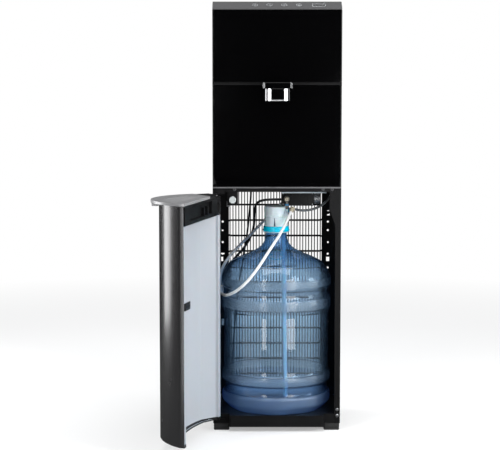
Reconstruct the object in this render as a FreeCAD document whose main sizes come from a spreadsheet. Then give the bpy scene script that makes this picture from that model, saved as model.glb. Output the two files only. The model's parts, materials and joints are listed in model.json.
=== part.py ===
import FreeCAD, Part
import math
import os
import Sketcher

# Bottom load water cooler, in millimetres. +Z is up, the front faces -Y, and the origin is the centre of
# the cabinet's footprint on the floor. The door stands open, turned about its two pins at the left front
# corner, and a half-moon drip tray lies on top of it.

doc = FreeCAD.newDocument("BottomLoadCooler")
Vector = FreeCAD.Vector

SIZES = {
    # cabinet
    "cabinet_width": 310, "cabinet_depth": 236, "sheet_wall": 1.0, "panel_bottom": 12, "panel_drop": 1,
    "front_flange": 14, "rear_flange": 36, "rear_hole_radius": 2.6, "seam_gap": 0.3,
    # feet and base
    "foot_width": 38, "foot_length": 46, "foot_height": 17, "foot_overhang": 1.5,
    "base_height": 40, "base_wall": 3, "base_nose": 20, "base_nose_inset": 40,
    # rails and shelf
    "head_room": 56.2, "beam_height": 12.5, "beam_depth": 25, "beam_wall": 1.5, "shelf_wall": 2,
    "gusset_width": 14, "gusset_height": 80, "gusset_slant": 38, "stand_leg": 10, "stand_wall": 2,
    # front of the upper part
    "dispenser_height": 244, "front_seam": 7, "upper_height": 173, "upper_proud": 10, "dispenser_proud": 3,
    "front_wall": 3, "corner_round": 4, "chassis_wall": 2,
    # control panel and top
    "panel_rise": 19, "panel_run": 36, "panel_wall": 5, "cover_wall": 3, "cover_crown": 2,
    "button_radius": 7, "button_gap": 0.4, "button_pitch": 35, "button_first": -53, "button_proud": 0.8,
    "button_rim": 1.5, "button_rim_height": 1.2, "button_travel": 1.2,
    "display_width": 32, "display_depth": 14, "display_wall": 1, "display_inset": 55,
    # spout
    "collar_width": 68, "collar_height": 14, "collar_reach": 67, "spout_width": 57, "spout_height": 29,
    "spout_reach": 72, "spout_length": 58, "spout_wall": 2.5, "spout_round": 8,
    "face_width": 31, "face_height": 24, "face_wall": 1.2, "nozzle_radius": 5, "nozzle_length": 16,
    # door
    "door_width": 306, "door_bottom": 30, "door_drop": 8.5, "door_gap": 4, "door_side": 10, "door_bulge": 87,
    "door_open": 104.5, "skin_wall": 2, "skin_play": 0.3, "liner_flange": 10.7, "liner_side": 10,
    "liner_slope": 28, "liner_slope_run": 40, "liner_bulge": 14, "liner_wall": 2,
    "block_height": 45, "block_wall": 3,
    "pocket_left": 60, "pocket_right": 40, "upright_width": 6, "upright_pitch": 30,
    "cap_wall": 3, "pin_inset": 7, "pin_setback": 12.5, "pin_radius": 3, "pin_play": 0.05,
    "pin_length": 12, "boss_radius": 7, "bracket_wall": 2.5, "bracket_width": 22,
    "catch_width": 38, "catch_height": 17, "catch_depth": 4, "catch_rise": 312,
    # drip tray
    "tray_width": 296, "tray_bulge": 118, "tray_wall": 2.5, "tray_height": 6, "tray_bowl": 14,
    "bowl_width": 164, "bowl_bulge": 74, "bowl_setback": 14, "bowl_place": 23, "corner_cut": 75,
    "pin_clearance": 23, "tray_lip_width": 46, "tray_lip_height": 12,
    "tray_lip_depth": 14, "grille_wall": 1.6, "grille_play": 0.6, "slot_width": 4, "slot_pitch": 12,
    "slot_margin": 8,
    # door switch
    "switch_width": 26, "switch_height": 34, "switch_depth": 30, "switch_place": -107, "switch_setback": 12,
    "plunger_radius": 8.2, "cross_wall": 2, "plunger_play": 0.4, "plunger_tip": 0.8, "plunger_travel": 3,
    # bottle and probe
    "bottle_clear": 5, "bottle_radius": 136, "bottle_height": 488, "bottle_wall": 1.6,
    "neck_radius": 26, "cap_radius": 30, "cap_skirt": 35.3, "cap_head": 14.4, "cap_round": 3,
    "slit_place": -5, "slit_width": 2, "slit_height": 20, "slit_rise": 2, "slit_depth": 1.2,
    "ring_radius": 33.5, "ring_height": 13, "probe_radius": 5.5, "probe_clear": 20.1, "probe_place": 24,
    "probe_lean": 0.95, "probe_wall": 1.2,
    "nut_radius": 6.5, "nut_length": 12, "nut_reach": 8.8, "nut_rise": 1.8,
    "port_radius": 4.5, "port_reach": 8.2, "port_tip": 6,
    # pump
    "pump_left": 12, "pump_width": 80, "pump_front": -62, "pump_depth": 40, "pump_drop": 4.5,
    "pump_height": 34, "motor_radius": 13, "motor_length": 17, "pump_bracket_wall": 1.5,
    "fitting_radius": 7, "fitting_length": 9, "fitting_bore": 3, "fitting_place": 13, "fitting_drop": 8,
    "groove_first": 26, "groove_pitch": 9, "groove_width": 2, "groove_height": 22, "groove_count": 5,
    "bracket_front": 16, "bracket_over": 12, "arm_width": 14,
    # hoses
    "hose_radius": 3.5, "return_radius": 3, "line_radius": 3, "cable_radius": 2.4,
    # condenser
    "tube_radius": 2.4, "row_pitch": 40, "row_first": 92, "row_count": 13, "row_half": 112,
    "condenser_setback": 9, "wire_radius": 1.3, "wire_pitch": 7.5, "wire_count": 32, "wire_touch": 0.05,
    "clip_width": 12, "clip_height": 8,
    # inside the upper part
    "compressor_radius": 56, "compressor_height": 110, "compressor_inset": 22, "dome_height": 26,
    "seat_wall": 3, "seat_reach": 8, "seat_half": 30, "mount_height": 10, "mount_radius": 8, "mount_spread": 20,
    "cold_radius": 60, "cold_height": 150, "cold_rise": 201, "tank_wall": 1.2, "foam_wall": 22,
    "foam_side": 14, "foam_clear": 12, "coil_radius": 4, "coil_count": 6, "coil_pitch": 18, "coil_play": 3,
    "hot_radius": 45, "hot_height": 130, "hot_inset": 24, "hot_setback": 34,
    "valve_radius": 9, "valve_length": 26, "valve_pitch": 40, "valve_drop": 20, "stem_length": 44,
    "stem_setback": 8, "pipe_radius": 4, "feed_inset": 14,
    "board_width": 180, "board_height": 26, "board_wall": 1.6, "chip_count": 4, "chip_first": -70,
    "chip_pitch": 40, "chip_width": 12, "chip_wall": 4, "chip_drop": 8,
    "vent_count": 8, "vent_pitch": 14, "vent_height": 5, "vent_drop": 60,
    "inlet_width": 28, "inlet_height": 20, "inlet_depth": 12, "inlet_wall": 2, "inlet_place": 100, "inlet_rise": 41,
    "plug_radius": 9, "plug_length": 12, "plug_place": 70, "plug_rise": 61, "plug_shift": 40,
    "screw_radius": 4, "screw_head": 2, "screw_low": 36, "screw_pitch": 15,
}

sheet = doc.addObject("Spreadsheet::Sheet", "Sizes")
for row, (word, number) in enumerate(SIZES.items(), start=1):
    sheet.set(f"A{row}", word)
    sheet.set(f"B{row}", str(number))
    sheet.setAlias(f"B{row}", word)
doc.recompute()


class Size:
    """A size from the sheet, or what is worked out from such sizes: its expression and its value."""

    def __init__(self, text, value):
        self.text = text
        self.value = value

    def __add__(self, other):
        other = as_size(other)
        return Size(f"({self.text} + {other.text})", self.value + other.value)

    def __radd__(self, other):
        return as_size(other) + self

    def __sub__(self, other):
        other = as_size(other)
        return Size(f"({self.text} - {other.text})", self.value - other.value)

    def __rsub__(self, other):
        return as_size(other) - self

    def __mul__(self, other):
        other = as_size(other)
        return Size(f"({self.text} * {other.text})", self.value * other.value)

    __rmul__ = __mul__

    def __truediv__(self, other):
        other = as_size(other)
        return Size(f"({self.text} / {other.text})", self.value / other.value)

    def __neg__(self):
        return Size(f"(0 - {self.text})", -self.value)


def as_size(number):
    return number if isinstance(number, Size) else Size(repr(float(number)), float(number))


class Sheet:
    """The sheet's sizes by name."""

    def __getattr__(self, word):
        return Size(f"Sizes.{word}", float(sheet.get(word)))


d = Sheet()
NODES = []


def node(thing, label):
    """Names a finished sub-part."""
    thing.Label = label
    NODES.append(thing)
    return thing


def place(thing, x=0, y=0, z=0):
    """Binds a thing's place to the sheet."""
    for letter, size in zip("xyz", (x, y, z)):
        thing.setExpression(f"Placement.Base.{letter}", as_size(size).text)
    return thing


def block(name, x, y, z):
    """A box between two sizes along each axis."""
    box = doc.addObject("Part::Box", name)
    for prop, (low, high) in zip(("Length", "Width", "Height"), (x, y, z)):
        box.setExpression(prop, (as_size(high) - low).text)
    return place(box, x[0], y[0], z[0])


TURNS = {"x": (Vector(0, 1, 0), 90), "y": (Vector(1, 0, 0), -90), "z": (Vector(0, 0, 1), 0)}


def rod(name, axis, x, y, z, radius, length):
    """A round bar that starts at x, y, z and runs along one axis."""
    bar = doc.addObject("Part::Cylinder", name)
    bar.setExpression("Radius", as_size(radius).text)
    bar.setExpression("Height", as_size(length).text)
    bar.Placement.Rotation = FreeCAD.Rotation(*TURNS[axis])
    return place(bar, x, y, z)


def fuse(name, *things):
    joined = doc.addObject("Part::MultiFuse", name)
    joined.Shapes = list(things)
    joined.Refine = True
    return joined


def cut(name, base, *tools):
    piece = doc.addObject("Part::Cut", name)
    piece.Base = base
    piece.Tool = tools[0] if len(tools) == 1 else fuse(name + "_tools", *tools)
    return piece


def group(name, *things):
    """Separate solids of one sub-part."""
    several = doc.addObject("Part::Compound", name)
    several.Links = list(things)
    return several


def tie(sketch, kind, *ends, size):
    """One dimension of a sketch, bound to the sheet."""
    number = sketch.addConstraint(Sketcher.Constraint(kind, *ends, size.value))
    sketch.setExpression(f"Constraints[{number}]", size.text)


def outline(body, plane, corners, level=0, bulges=None, name="outline"):
    """A closed sketch on one of the body's own planes. Each corner is tied to the sheet, and bulges gives
    the height of the arc over the side that starts at a corner, to the right of its direction."""
    corners = [(as_size(x), as_size(y)) for x, y in corners]
    bulges = bulges or {}
    sketch = body.newObject("Sketcher::SketchObject", f"{body.Name}_{name}")
    support = next(f for f in body.Origin.OriginFeatures if f.Role == plane)
    sketch.AttachmentSupport = (support, [""])
    sketch.MapMode = "FlatFace"
    sketch.setExpression("AttachmentOffset.Base.z", as_size(level).text)
    spots = [Vector(x.value, y.value, 0) for x, y in corners]
    sides = []
    for i, start in enumerate(spots):
        end = spots[(i + 1) % len(spots)]
        if i in bulges:
            along = (end - start).normalize()
            middle = (start + end) * 0.5 + Vector(along.y, -along.x, 0) * bulges[i].value
            geometry = Part.Arc(start, middle, end)
        else:
            geometry = Part.LineSegment(start, end)
        side = sketch.addGeometry(geometry)
        first = 1 if (sketch.getPoint(side, 1) - start).Length < 1e-6 else 2
        sides.append((side, first, 3 - first))
    for i, (side, first, last) in enumerate(sides):
        following, its_first, _ = sides[(i + 1) % len(sides)]
        sketch.addConstraint(Sketcher.Constraint("Coincident", side, last, following, its_first))
        for kind, axis, size in zip(("DistanceX", "DistanceY"), (-2, -1), corners[i]):
            if size.value == 0:
                sketch.addConstraint(Sketcher.Constraint("PointOnObject", side, first, axis))
            else:
                tie(sketch, kind, -1, 1, side, first, size=size)
        if i in bulges:
            (x1, y1), (x2, y2) = corners[i], corners[(i + 1) % len(corners)]
            height = bulges[i]
            chord = (x2 - x1) * (x2 - x1) + (y2 - y1) * (y2 - y1)
            sign = 1 if height.value > 0 else -1
            tie(sketch, "Radius", side, size=(chord / 4 + height * height) / (2 * sign * height))
    return sketch


def pad(name, plane, corners, level, length, bulges=None):
    """A body padded from an outline, along the plane's normal."""
    body = doc.addObject("PartDesign::Body", name)
    feature = body.newObject("PartDesign::Pad", f"{name}_pad")
    feature.Profile = outline(body, plane, corners, level, bulges)
    feature.setExpression("Length", as_size(length).text)
    body.Tip = feature
    return body


def turned(name, corners, bulges=None):
    """A body turned about its own upright axis from a half outline of (radius, height)."""
    body = doc.addObject("PartDesign::Body", name)
    sketch = outline(body, "XZ_Plane", corners, 0, bulges)
    feature = body.newObject("PartDesign::Revolution", f"{name}_turn")
    feature.Profile = sketch
    feature.ReferenceAxis = (sketch, ["V_Axis"])
    feature.Angle = 360
    body.Tip = feature
    return body


def rounded(body, radius, wanted):
    """Rounds the edges of a body that the test picks."""
    doc.recompute()
    tip = body.Tip
    picked = [f"Edge{i + 1}" for i, edge in enumerate(tip.Shape.Edges) if wanted(edge)]
    feature = body.newObject("PartDesign::Fillet", f"{body.Name}_round{len(body.Group)}")
    feature.Base = (tip, picked)
    feature.setExpression("Radius", radius.text)
    body.Tip = feature
    return body


def runs_along(edge, axis):
    """True for a straight edge along an axis."""
    if edge.Curve.TypeId != "Part::GeomLine":
        return False
    way = edge.tangentAt(edge.FirstParameter)
    return abs(getattr(way, axis)) > 0.999


def pipe(name, points, radius):
    """A round tube along straight runs joined by tangent arcs, each as large as its two runs allow."""
    spots = [Vector(*p) for p in points]
    runs = [b - a for a, b in zip(spots, spots[1:])]
    edges = []
    at = spots[0]
    tightest = None
    for i in range(1, len(spots) - 1):
        before, after = runs[i - 1], runs[i]
        turn = before.getAngle(after)
        shorter = min(before.Length, after.Length)
        bend = 0.45 * shorter / math.tan(turn / 2)
        tightest = bend if tightest is None else min(tightest, bend)
        back = before * (1 / before.Length)
        ahead = after * (1 / after.Length)
        start = spots[i] - back * 0.45 * shorter
        end = spots[i] + ahead * 0.45 * shorter
        inward = (ahead - back).normalize()
        middle = spots[i] + inward * (bend / math.cos(turn / 2) - bend)
        edges.append(Part.LineSegment(at, start).toShape())
        edges.append(Part.Arc(start, middle, end).toShape())
        at = end
    edges.append(Part.LineSegment(at, spots[-1]).toShape())
    path = Part.Wire(edges)
    ring = Part.Wire([Part.makeCircle(radius, spots[0], runs[0])])
    tube = path.makePipeShell([ring], True, True)
    print(f"{name}: length {path.Length:.0f}, tightest bend {tightest:.0f}, "
          f"volume ratio {tube.Volume / (math.pi * radius ** 2 * path.Length):.4f}")
    piece = doc.addObject("Part::Feature", name)
    piece.Shape = tube
    return piece


# Levels that many pieces share.
half_width = d.cabinet_width / 2
front = -d.cabinet_depth / 2
rear = d.cabinet_depth / 2
inner = half_width - d.sheet_wall
zero = as_size(0)

# Heights stack up from the base: the bottle stands on it, and all above follows the bottle's neck.
bottle_low = d.base_height + d.seam_gap
neck_top = bottle_low + d.bottle_height
beam_bottom = neck_top + d.head_room
beam_top = beam_bottom + d.beam_height
shelf_top = beam_top + d.shelf_wall
dispenser_top = beam_top + d.dispenser_height
upper_bottom = dispenser_top + d.front_seam
upper_top = upper_bottom + d.upper_height
panel_top = upper_top - d.panel_drop
door_top = beam_bottom - d.door_drop
cold_bottom = shelf_top + d.cold_rise

# Feet: four blocks of hard rubber under the corners.


def foot(name, left, back):
    x = (-half_width + d.foot_overhang, -half_width + d.foot_overhang + d.foot_width)
    if not left:
        x = (-x[1], -x[0])
    y = (front, front + d.foot_length)
    if back:
        y = (-y[1], -y[0])
    return block(name, x, y, (zero, d.foot_height))


feet = group("Feet", *[foot(f"Foot{i}", i % 2 == 0, i > 1) for i in range(4)])
node(feet, "feet")

# Base: a moulded pan, open below, with a nose in front that carries the bottle's edge. It sits on the feet.
base_half = inner - d.seam_gap
nose_half = half_width - d.base_nose_inset
foot_clear = -half_width + d.foot_overhang + d.foot_width
base_plan = [
    (-base_half, front + d.sheet_wall + d.seam_gap), (-nose_half, front + d.sheet_wall + d.seam_gap),
    (-nose_half, front - d.base_nose), (nose_half, front - d.base_nose),
    (nose_half, front + d.sheet_wall + d.seam_gap), (base_half, front + d.sheet_wall + d.seam_gap),
    (base_half, rear - d.sheet_wall - d.seam_gap), (-base_half, rear - d.sheet_wall - d.seam_gap),
]
base_solid = pad("Base", "XY_Plane", base_plan, d.panel_bottom, d.base_height - d.panel_bottom)
rounded(base_solid, d.base_wall, lambda e: runs_along(e, "z") and e.CenterOfMass.y < front.value)
hollow_low = d.panel_bottom - 1
hollow_high = d.base_height - d.base_wall
base_hollow = block(
    "BaseHollow", (-base_half + d.base_wall, base_half - d.base_wall),
    (front + d.sheet_wall + d.seam_gap + d.base_wall, rear - d.sheet_wall - d.seam_gap - d.base_wall),
    (hollow_low, hollow_high))
nose_hollow = block(
    "NoseHollow", (-nose_half + d.base_wall, nose_half - d.base_wall),
    (front - d.base_nose + d.base_wall, front + d.foot_length), (hollow_low, hollow_high))
foot_rooms = [
    block(f"FootRoom{i}", (-half_width, foot_clear + d.seam_gap) if i % 2 == 0 else
          (-foot_clear - d.seam_gap, half_width),
          (front, front + d.foot_length + d.seam_gap) if i < 2 else (rear - d.foot_length - d.seam_gap, rear),
          (hollow_low, d.foot_height))
    for i in range(4)]
base = cut("BaseTray", base_solid, base_hollow, nose_hollow, *foot_rooms)
node(base, "base_tray")


# Side panels: sheet steel folded inwards at the front and, wider, at the back, where it is punched. The
# round holes are given by their height over the floor, the slots by height, width and length.
ROUND_HOLES = (370, 406, 436, 467, 489, 229, 314)
LEFT_SLOTS = ((387, 8, 11), (405, 9, 3), (310, 7, 14))
RIGHT_SLOTS = ((387, 8, 11), (505, 9, 5), (515, 6, 3))


def side_panel(name, left):
    sign = -1 if left else 1
    outside = sign * half_width
    inside = sign * inner
    plan = [
        (outside, front), (outside, rear), (sign * (half_width - d.rear_flange), rear),
        (sign * (half_width - d.rear_flange), rear - d.sheet_wall), (inside, rear - d.sheet_wall),
        (inside, front + d.sheet_wall), (sign * (half_width - d.front_flange), front + d.sheet_wall),
        (sign * (half_width - d.front_flange), front),
    ]
    solid = pad(name, "XY_Plane", plan, d.foot_height, panel_top - d.foot_height)
    across = sign * (half_width - d.rear_flange / 2 - 2)
    start = rear - d.sheet_wall - 1
    deep = d.sheet_wall + 2
    holes = []
    for i, height in enumerate(ROUND_HOLES):
        holes.append(rod(f"{name}Hole{i}", "y", across, start, height, d.rear_hole_radius, deep))
    for i, (height, width, tall) in enumerate(LEFT_SLOTS if left else RIGHT_SLOTS):
        holes.append(block(f"{name}Slot{i}", (across - width / 2, across + width / 2), (start, start + deep),
                           (as_size(height), as_size(height + tall))))
    if not left:
        flange_edge = half_width - d.front_flange
        gusset_top = beam_bottom - d.seam_gap
        gusset_low = gusset_top - d.gusset_height
        gusset = pad(name + "Gusset", "XZ_Plane",
                     [(flange_edge - d.gusset_width, gusset_low + d.gusset_slant), (flange_edge, gusset_low),
                      (flange_edge, gusset_top), (flange_edge - d.gusset_width, gusset_top)],
                     -front - d.sheet_wall, d.sheet_wall)
        solid = fuse(name + "WithGusset", solid, gusset)
    return cut(name + "Punched", solid, *holes)


node(side_panel("LeftSide", True), "left_side_panel")
node(side_panel("RightSide", False), "right_side_panel")

# Cross beam: a steel channel over the door opening, between the two side panels.
beam_half = half_width - d.front_flange - d.seam_gap
beam_solid = block("BeamSolid", (-beam_half, beam_half), (front, front + d.beam_depth), (beam_bottom, beam_top))
beam_room = block("BeamRoom", (-beam_half - 1, beam_half + 1), (front + d.beam_wall, front + d.beam_depth + 1),
                  (beam_bottom + d.beam_wall, beam_top - d.beam_wall))
node(cut("CrossBeam", beam_solid, beam_room), "cross_beam")

# Shelf: the floor of the upper part, which carries the compressor and the tanks.
cold_y = rear - d.cold_radius - d.foam_wall - d.foam_clear
foam_half = d.cold_radius + d.coil_radius * 2 + d.foam_side
foam_low = cold_bottom - d.foam_wall
shelf_plate = block("ShelfPlate", (-inner + d.seam_gap, inner - d.seam_gap),
                    (front + d.sheet_wall + d.seam_gap, rear - d.sheet_wall - d.seam_gap),
                    (beam_top, shelf_top))
stand_plate = block("StandPlate", (-foam_half, foam_half), (cold_y - foam_half, cold_y + foam_half),
                    (foam_low - d.stand_wall, foam_low))
stand_legs = [
    block(f"StandLeg{i}", (x, x + d.stand_leg), (y, y + d.stand_leg), (beam_top, foam_low - d.stand_wall / 2))
    for i, (x, y) in enumerate((
        (-foam_half, cold_y - foam_half), (foam_half - d.stand_leg, cold_y - foam_half),
        (zero, cold_y + foam_half - d.stand_leg)))]
node(fuse("MidShelf", shelf_plate, stand_plate, *stand_legs), "mid_shelf")


# Front panels: glossy moulded shells with rounded corners, on a black chassis.
def front_panel(name, low, high, proud):
    y_back = front - d.seam_gap
    half = half_width - d.seam_gap
    solid = pad(name, "XZ_Plane", [(-half, low), (half, low), (half, high), (-half, high)],
                -(front - proud) - (proud - d.seam_gap), proud - d.seam_gap)
    rounded(solid, d.corner_round, lambda e: runs_along(e, "y"))
    wall = d.front_wall
    room = block(name + "Room", (-half + wall, half - wall), (front - proud + wall, y_back + 1),
                 (low + wall, high - wall))
    return cut(name + "Shell", solid, room)


upper_panel = front_panel("UpperPanel", upper_bottom, upper_top, d.upper_proud)
node(upper_panel, "upper_front_panel")
dispenser_solid = front_panel("Dispenser", beam_top, dispenser_top, d.dispenser_proud)
node(dispenser_solid, "dispenser_panel")

# Chassis: the black plate behind both front panels, with an opening for the valves.
chassis_plate = block("ChassisPlate", (-half_width + d.front_flange + d.seam_gap,
                                       half_width - d.front_flange - d.seam_gap),
                      (front - d.seam_gap, front - d.seam_gap + d.chassis_wall),
                      (beam_top + d.shelf_wall + d.seam_gap, panel_top))
chassis_room = block("ChassisRoom", (-d.collar_width / 2, d.collar_width / 2),
                     (front - 1, front + d.chassis_wall + 1),
                     (upper_bottom + d.front_wall, upper_bottom + d.collar_width))
seam_strip = block("SeamStrip", (-half_width + d.corner_round, half_width - d.corner_round),
                   (front - d.dispenser_proud + 1, front - d.seam_gap),
                   (dispenser_top + d.seam_gap, upper_bottom - d.seam_gap))
chassis = cut("Chassis", fuse("ChassisSolid", chassis_plate, seam_strip), chassis_room)
node(chassis, "front_chassis")

# Control panel: a thick glossy plate that slopes up from the front to the top cover.
slope = math.atan2(d.panel_rise.value, d.panel_run.value)
slope_text = "atan2(Sizes.panel_rise; Sizes.panel_run)"
panel_front = front - d.upper_proud / 2
panel_half = half_width - d.seam_gap
panel_low = upper_top + d.seam_gap
panel_profile = [
    (panel_front, panel_low), (panel_front + d.panel_run, panel_low),
    (panel_front + d.panel_run, panel_low + d.panel_rise),
]
panel_solid = pad("PanelWedge", "YZ_Plane", panel_profile, -panel_half, panel_half * 2)
panel_room_profile = [
    (panel_front + d.panel_wall * 3, panel_low - 1),
    (panel_front + d.panel_run - d.panel_wall / 2, panel_low - 1),
    (panel_front + d.panel_run - d.panel_wall / 2, panel_low + d.panel_rise - d.panel_wall * 1.3),
]
panel_room = pad("PanelRoom", "YZ_Plane", panel_room_profile, -panel_half + d.panel_wall,
                 panel_half * 2 - d.panel_wall * 2)
panel_mid_y = panel_front + d.panel_run / 2
panel_mid_z = panel_low + d.panel_rise / 2


def on_slope(thing, x, depth, along=0):
    """Stands a thing square on the sloping panel, depth below its face."""
    thing.Placement = FreeCAD.Placement(Vector(), FreeCAD.Rotation(Vector(1, 0, 0), math.degrees(slope)))
    thing.setExpression("Placement.Rotation.Angle", slope_text)
    down = as_size(depth)
    up_slope = as_size(along)
    sine = f"sin({slope_text})"
    cosine = f"cos({slope_text})"
    thing.setExpression("Placement.Base.x", as_size(x).text)
    thing.setExpression(
        "Placement.Base.y", f"{panel_mid_y.text} + {down.text} * {sine} + {up_slope.text} * {cosine}")
    thing.setExpression(
        "Placement.Base.z", f"{panel_mid_z.text} - {down.text} * {cosine} + {up_slope.text} * {sine}")
    return thing


def upright_rod(name, radius, length):
    bar = doc.addObject("Part::Cylinder", name)
    bar.setExpression("Radius", as_size(radius).text)
    bar.setExpression("Height", as_size(length).text)
    return bar


BUTTONS = ("hot_button", "warm_button", "cold_button", "lock_button")
button_holes = []
rim_depth = d.panel_wall + d.button_travel
for i in range(len(BUTTONS)):
    x = d.button_first + d.button_pitch * i
    hole = on_slope(upright_rod(f"ButtonHole{i}", d.button_radius + d.button_gap, d.panel_wall * 4), x,
                    d.panel_wall * 3)
    rim_room = on_slope(upright_rod(f"ButtonRoom{i}", d.button_radius + d.button_rim + d.button_gap,
                                    d.panel_wall * 3), x, d.panel_wall / 2 + d.panel_wall * 3)
    button_holes += [hole, rim_room]
display_x = half_width - d.display_inset - d.display_width / 2
display_room = on_slope(block("DisplayRoom", (zero, d.display_width), (zero, d.display_depth),
                              (zero, d.panel_wall)),
                        display_x, d.display_wall, -d.display_depth / 2)
panel = cut("ControlPanel", panel_solid, panel_room, display_room, *button_holes)
node(panel, "control_panel")
display = on_slope(block("Display", (zero, d.display_width - d.seam_gap * 2),
                         (zero, d.display_depth - d.seam_gap * 2), (zero, d.display_wall)),
                   display_x + d.seam_gap, d.display_wall,
                   -d.display_depth / 2 + d.seam_gap)
node(display, "display_window")

# Buttons: caps that slide in the panel's holes, each with a rim that holds it in from below.
rim_top = d.panel_wall / 2 + d.seam_gap
for i, label in enumerate(BUTTONS):
    x = d.button_first + d.button_pitch * i
    cap = on_slope(upright_rod(f"ButtonCap{i}", d.button_radius, rim_top + d.button_proud), x, rim_top)
    rim = on_slope(upright_rod(f"ButtonRim{i}", d.button_radius + d.button_rim, d.button_rim_height), x,
                   rim_top + d.button_rim_height)
    node(fuse(f"Button{i}", cap, rim), label)

# Top cover: a shallow lid, open below, behind the control panel.
cover_front = panel_front + d.panel_run + d.seam_gap
cover_profile = [
    (cover_front, panel_low), (rear, panel_low), (rear, panel_low + d.panel_rise - d.cover_crown),
    (cover_front, panel_low + d.panel_rise),
]
cover_solid = pad("CoverSolid", "YZ_Plane", cover_profile, -panel_half, panel_half * 2, {2: d.cover_crown})
rounded(cover_solid, d.cover_wall, lambda e: runs_along(e, "z") and e.CenterOfMass.y > 0)
cover_room = block("CoverRoom", (-panel_half + d.cover_wall, panel_half - d.cover_wall),
                   (cover_front + d.cover_wall, rear - d.cover_wall),
                   (panel_low - 1, panel_low + d.panel_rise - d.cover_crown - d.cover_wall))
node(cut("TopCover", cover_solid, cover_room), "top_cover")

# Rear cover: the sheet that closes the back of the upper part.
rear_cover = block("RearCover", (-half_width + d.corner_round, half_width - d.corner_round),
                   (rear, rear + d.sheet_wall), (beam_top + d.shelf_wall, panel_top))
vents = [
    block(f"Vent{i}", (-half_width / 2, half_width / 2), (rear - 1, rear + d.sheet_wall + 1),
          (panel_top - d.vent_drop - i * d.vent_pitch,
           panel_top - d.vent_drop - i * d.vent_pitch + d.vent_height))
    for i in range(int(d.vent_count.value))]
node(cut("RearCoverVented", rear_cover, *vents), "rear_cover")

# Spout: a collar under the upper panel, a hollow spout body below it and a dark face plate in front.
collar_half = d.collar_width / 2
collar_top = upper_bottom - d.seam_gap
collar_low = collar_top - d.collar_height
collar = pad("Collar", "XY_Plane",
             [(-collar_half, front - d.dispenser_proud), (-collar_half, front - d.collar_reach),
              (collar_half, front - d.collar_reach), (collar_half, front - d.dispenser_proud)],
             collar_low, d.collar_height)
rounded(collar, d.corner_round, lambda e: runs_along(e, "z") and e.CenterOfMass.y < front.value - 20)
collar_bore = rod("CollarBore", "z", zero, front - d.spout_reach + d.spout_length / 2, collar_low - 1,
                  d.nozzle_radius * 2.4, d.collar_height - d.front_wall + 1)
node(cut("SpoutCollar", collar, collar_bore), "spout_collar")

spout_half = d.spout_width / 2
spout_top = collar_low
spout_low = spout_top - d.spout_height
spout_front = front - d.spout_reach
spout_back = spout_front + d.spout_length
spout_solid = pad("SpoutSolid", "XY_Plane",
                  [(-spout_half, spout_back), (-spout_half, spout_front), (spout_half, spout_front),
                   (spout_half, spout_back)], spout_low, d.spout_height)
rounded(spout_solid, d.spout_round, lambda e: runs_along(e, "z") and e.CenterOfMass.y < spout_front.value + 10)
spout_room = block("SpoutRoom", (-spout_half + d.spout_wall, spout_half - d.spout_wall),
                   (spout_front + d.spout_wall, spout_back - d.spout_wall),
                   (spout_low - 1, spout_top - d.spout_wall))
spout_shell = cut("SpoutShell", spout_solid, spout_room)
nozzles = [
    cut(f"Nozzle{i}",
        rod(f"NozzleRod{i}", "z", (i * 2 - 1) * d.nozzle_radius * 1.5, spout_front + d.spout_length / 2,
            spout_top - d.spout_wall - d.nozzle_length, d.nozzle_radius, d.nozzle_length),
        rod(f"NozzleBore{i}", "z", (i * 2 - 1) * d.nozzle_radius * 1.5, spout_front + d.spout_length / 2,
            spout_top - d.spout_wall - d.nozzle_length - 1, d.nozzle_radius / 2, d.nozzle_length))
    for i in range(2)]
node(fuse("SpoutBody", spout_shell, *nozzles), "spout_body")
face = block("SpoutFace", (-d.face_width / 2, d.face_width / 2), (spout_front - d.face_wall, spout_front),
             (spout_top - d.face_height, spout_top))
node(face, "spout_face")

# Hinge: two steel brackets with a pin each, one over the door and one under it.
pin_x = -d.door_width / 2 + d.pin_inset
pin_y = front - d.pin_setback
upper_leaf_low = door_top + (beam_bottom - door_top - d.bracket_wall) / 2
lower_leaf_low = d.door_bottom - d.seam_gap * 2 - d.bracket_wall
leaf_x = (pin_x - d.boss_radius, pin_x + d.boss_radius)
post_x = (-half_width + d.front_flange / 2, -half_width + d.front_flange / 2 + d.bracket_width)


def hinge_bracket(name, leaf_low, post_high, post_low):
    leaf = block(name + "Leaf", leaf_x, (pin_y - d.boss_radius, front), (leaf_low, leaf_low + d.bracket_wall))
    tongue = block(name + "Tongue", post_x, (front - d.bracket_wall - d.seam_gap, front - d.seam_gap),
                   (post_low, post_high))
    hole = rod(name + "Hole", "z", pin_x, pin_y, leaf_low - 1, d.pin_radius, d.bracket_wall + 2)
    return cut(name, fuse(name + "Solid", leaf, tongue), hole)


upper_bracket = hinge_bracket("UpperBracket", upper_leaf_low, beam_top - d.seam_gap, upper_leaf_low)
lower_bracket = hinge_bracket("LowerBracket", lower_leaf_low, lower_leaf_low + d.bracket_wall,
                              d.foot_height + 1)
node(group("HingeBrackets", upper_bracket, lower_bracket), "hinge_brackets")
upper_pin = rod("UpperPin", "z", pin_x, pin_y, upper_leaf_low + d.bracket_wall - d.pin_length - d.bracket_wall,
                d.pin_radius, d.pin_length + d.bracket_wall)
lower_pin = rod("LowerPin", "z", pin_x, pin_y, lower_leaf_low, d.pin_radius, d.pin_length + d.bracket_wall)
node(group("HingePins", upper_pin, lower_pin), "hinge_pins")

# Door pieces are laid out as the door stands when it is shut, and are then turned about the pins.
swing_text = "(0 deg - Sizes.door_open * 1 deg)"


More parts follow.
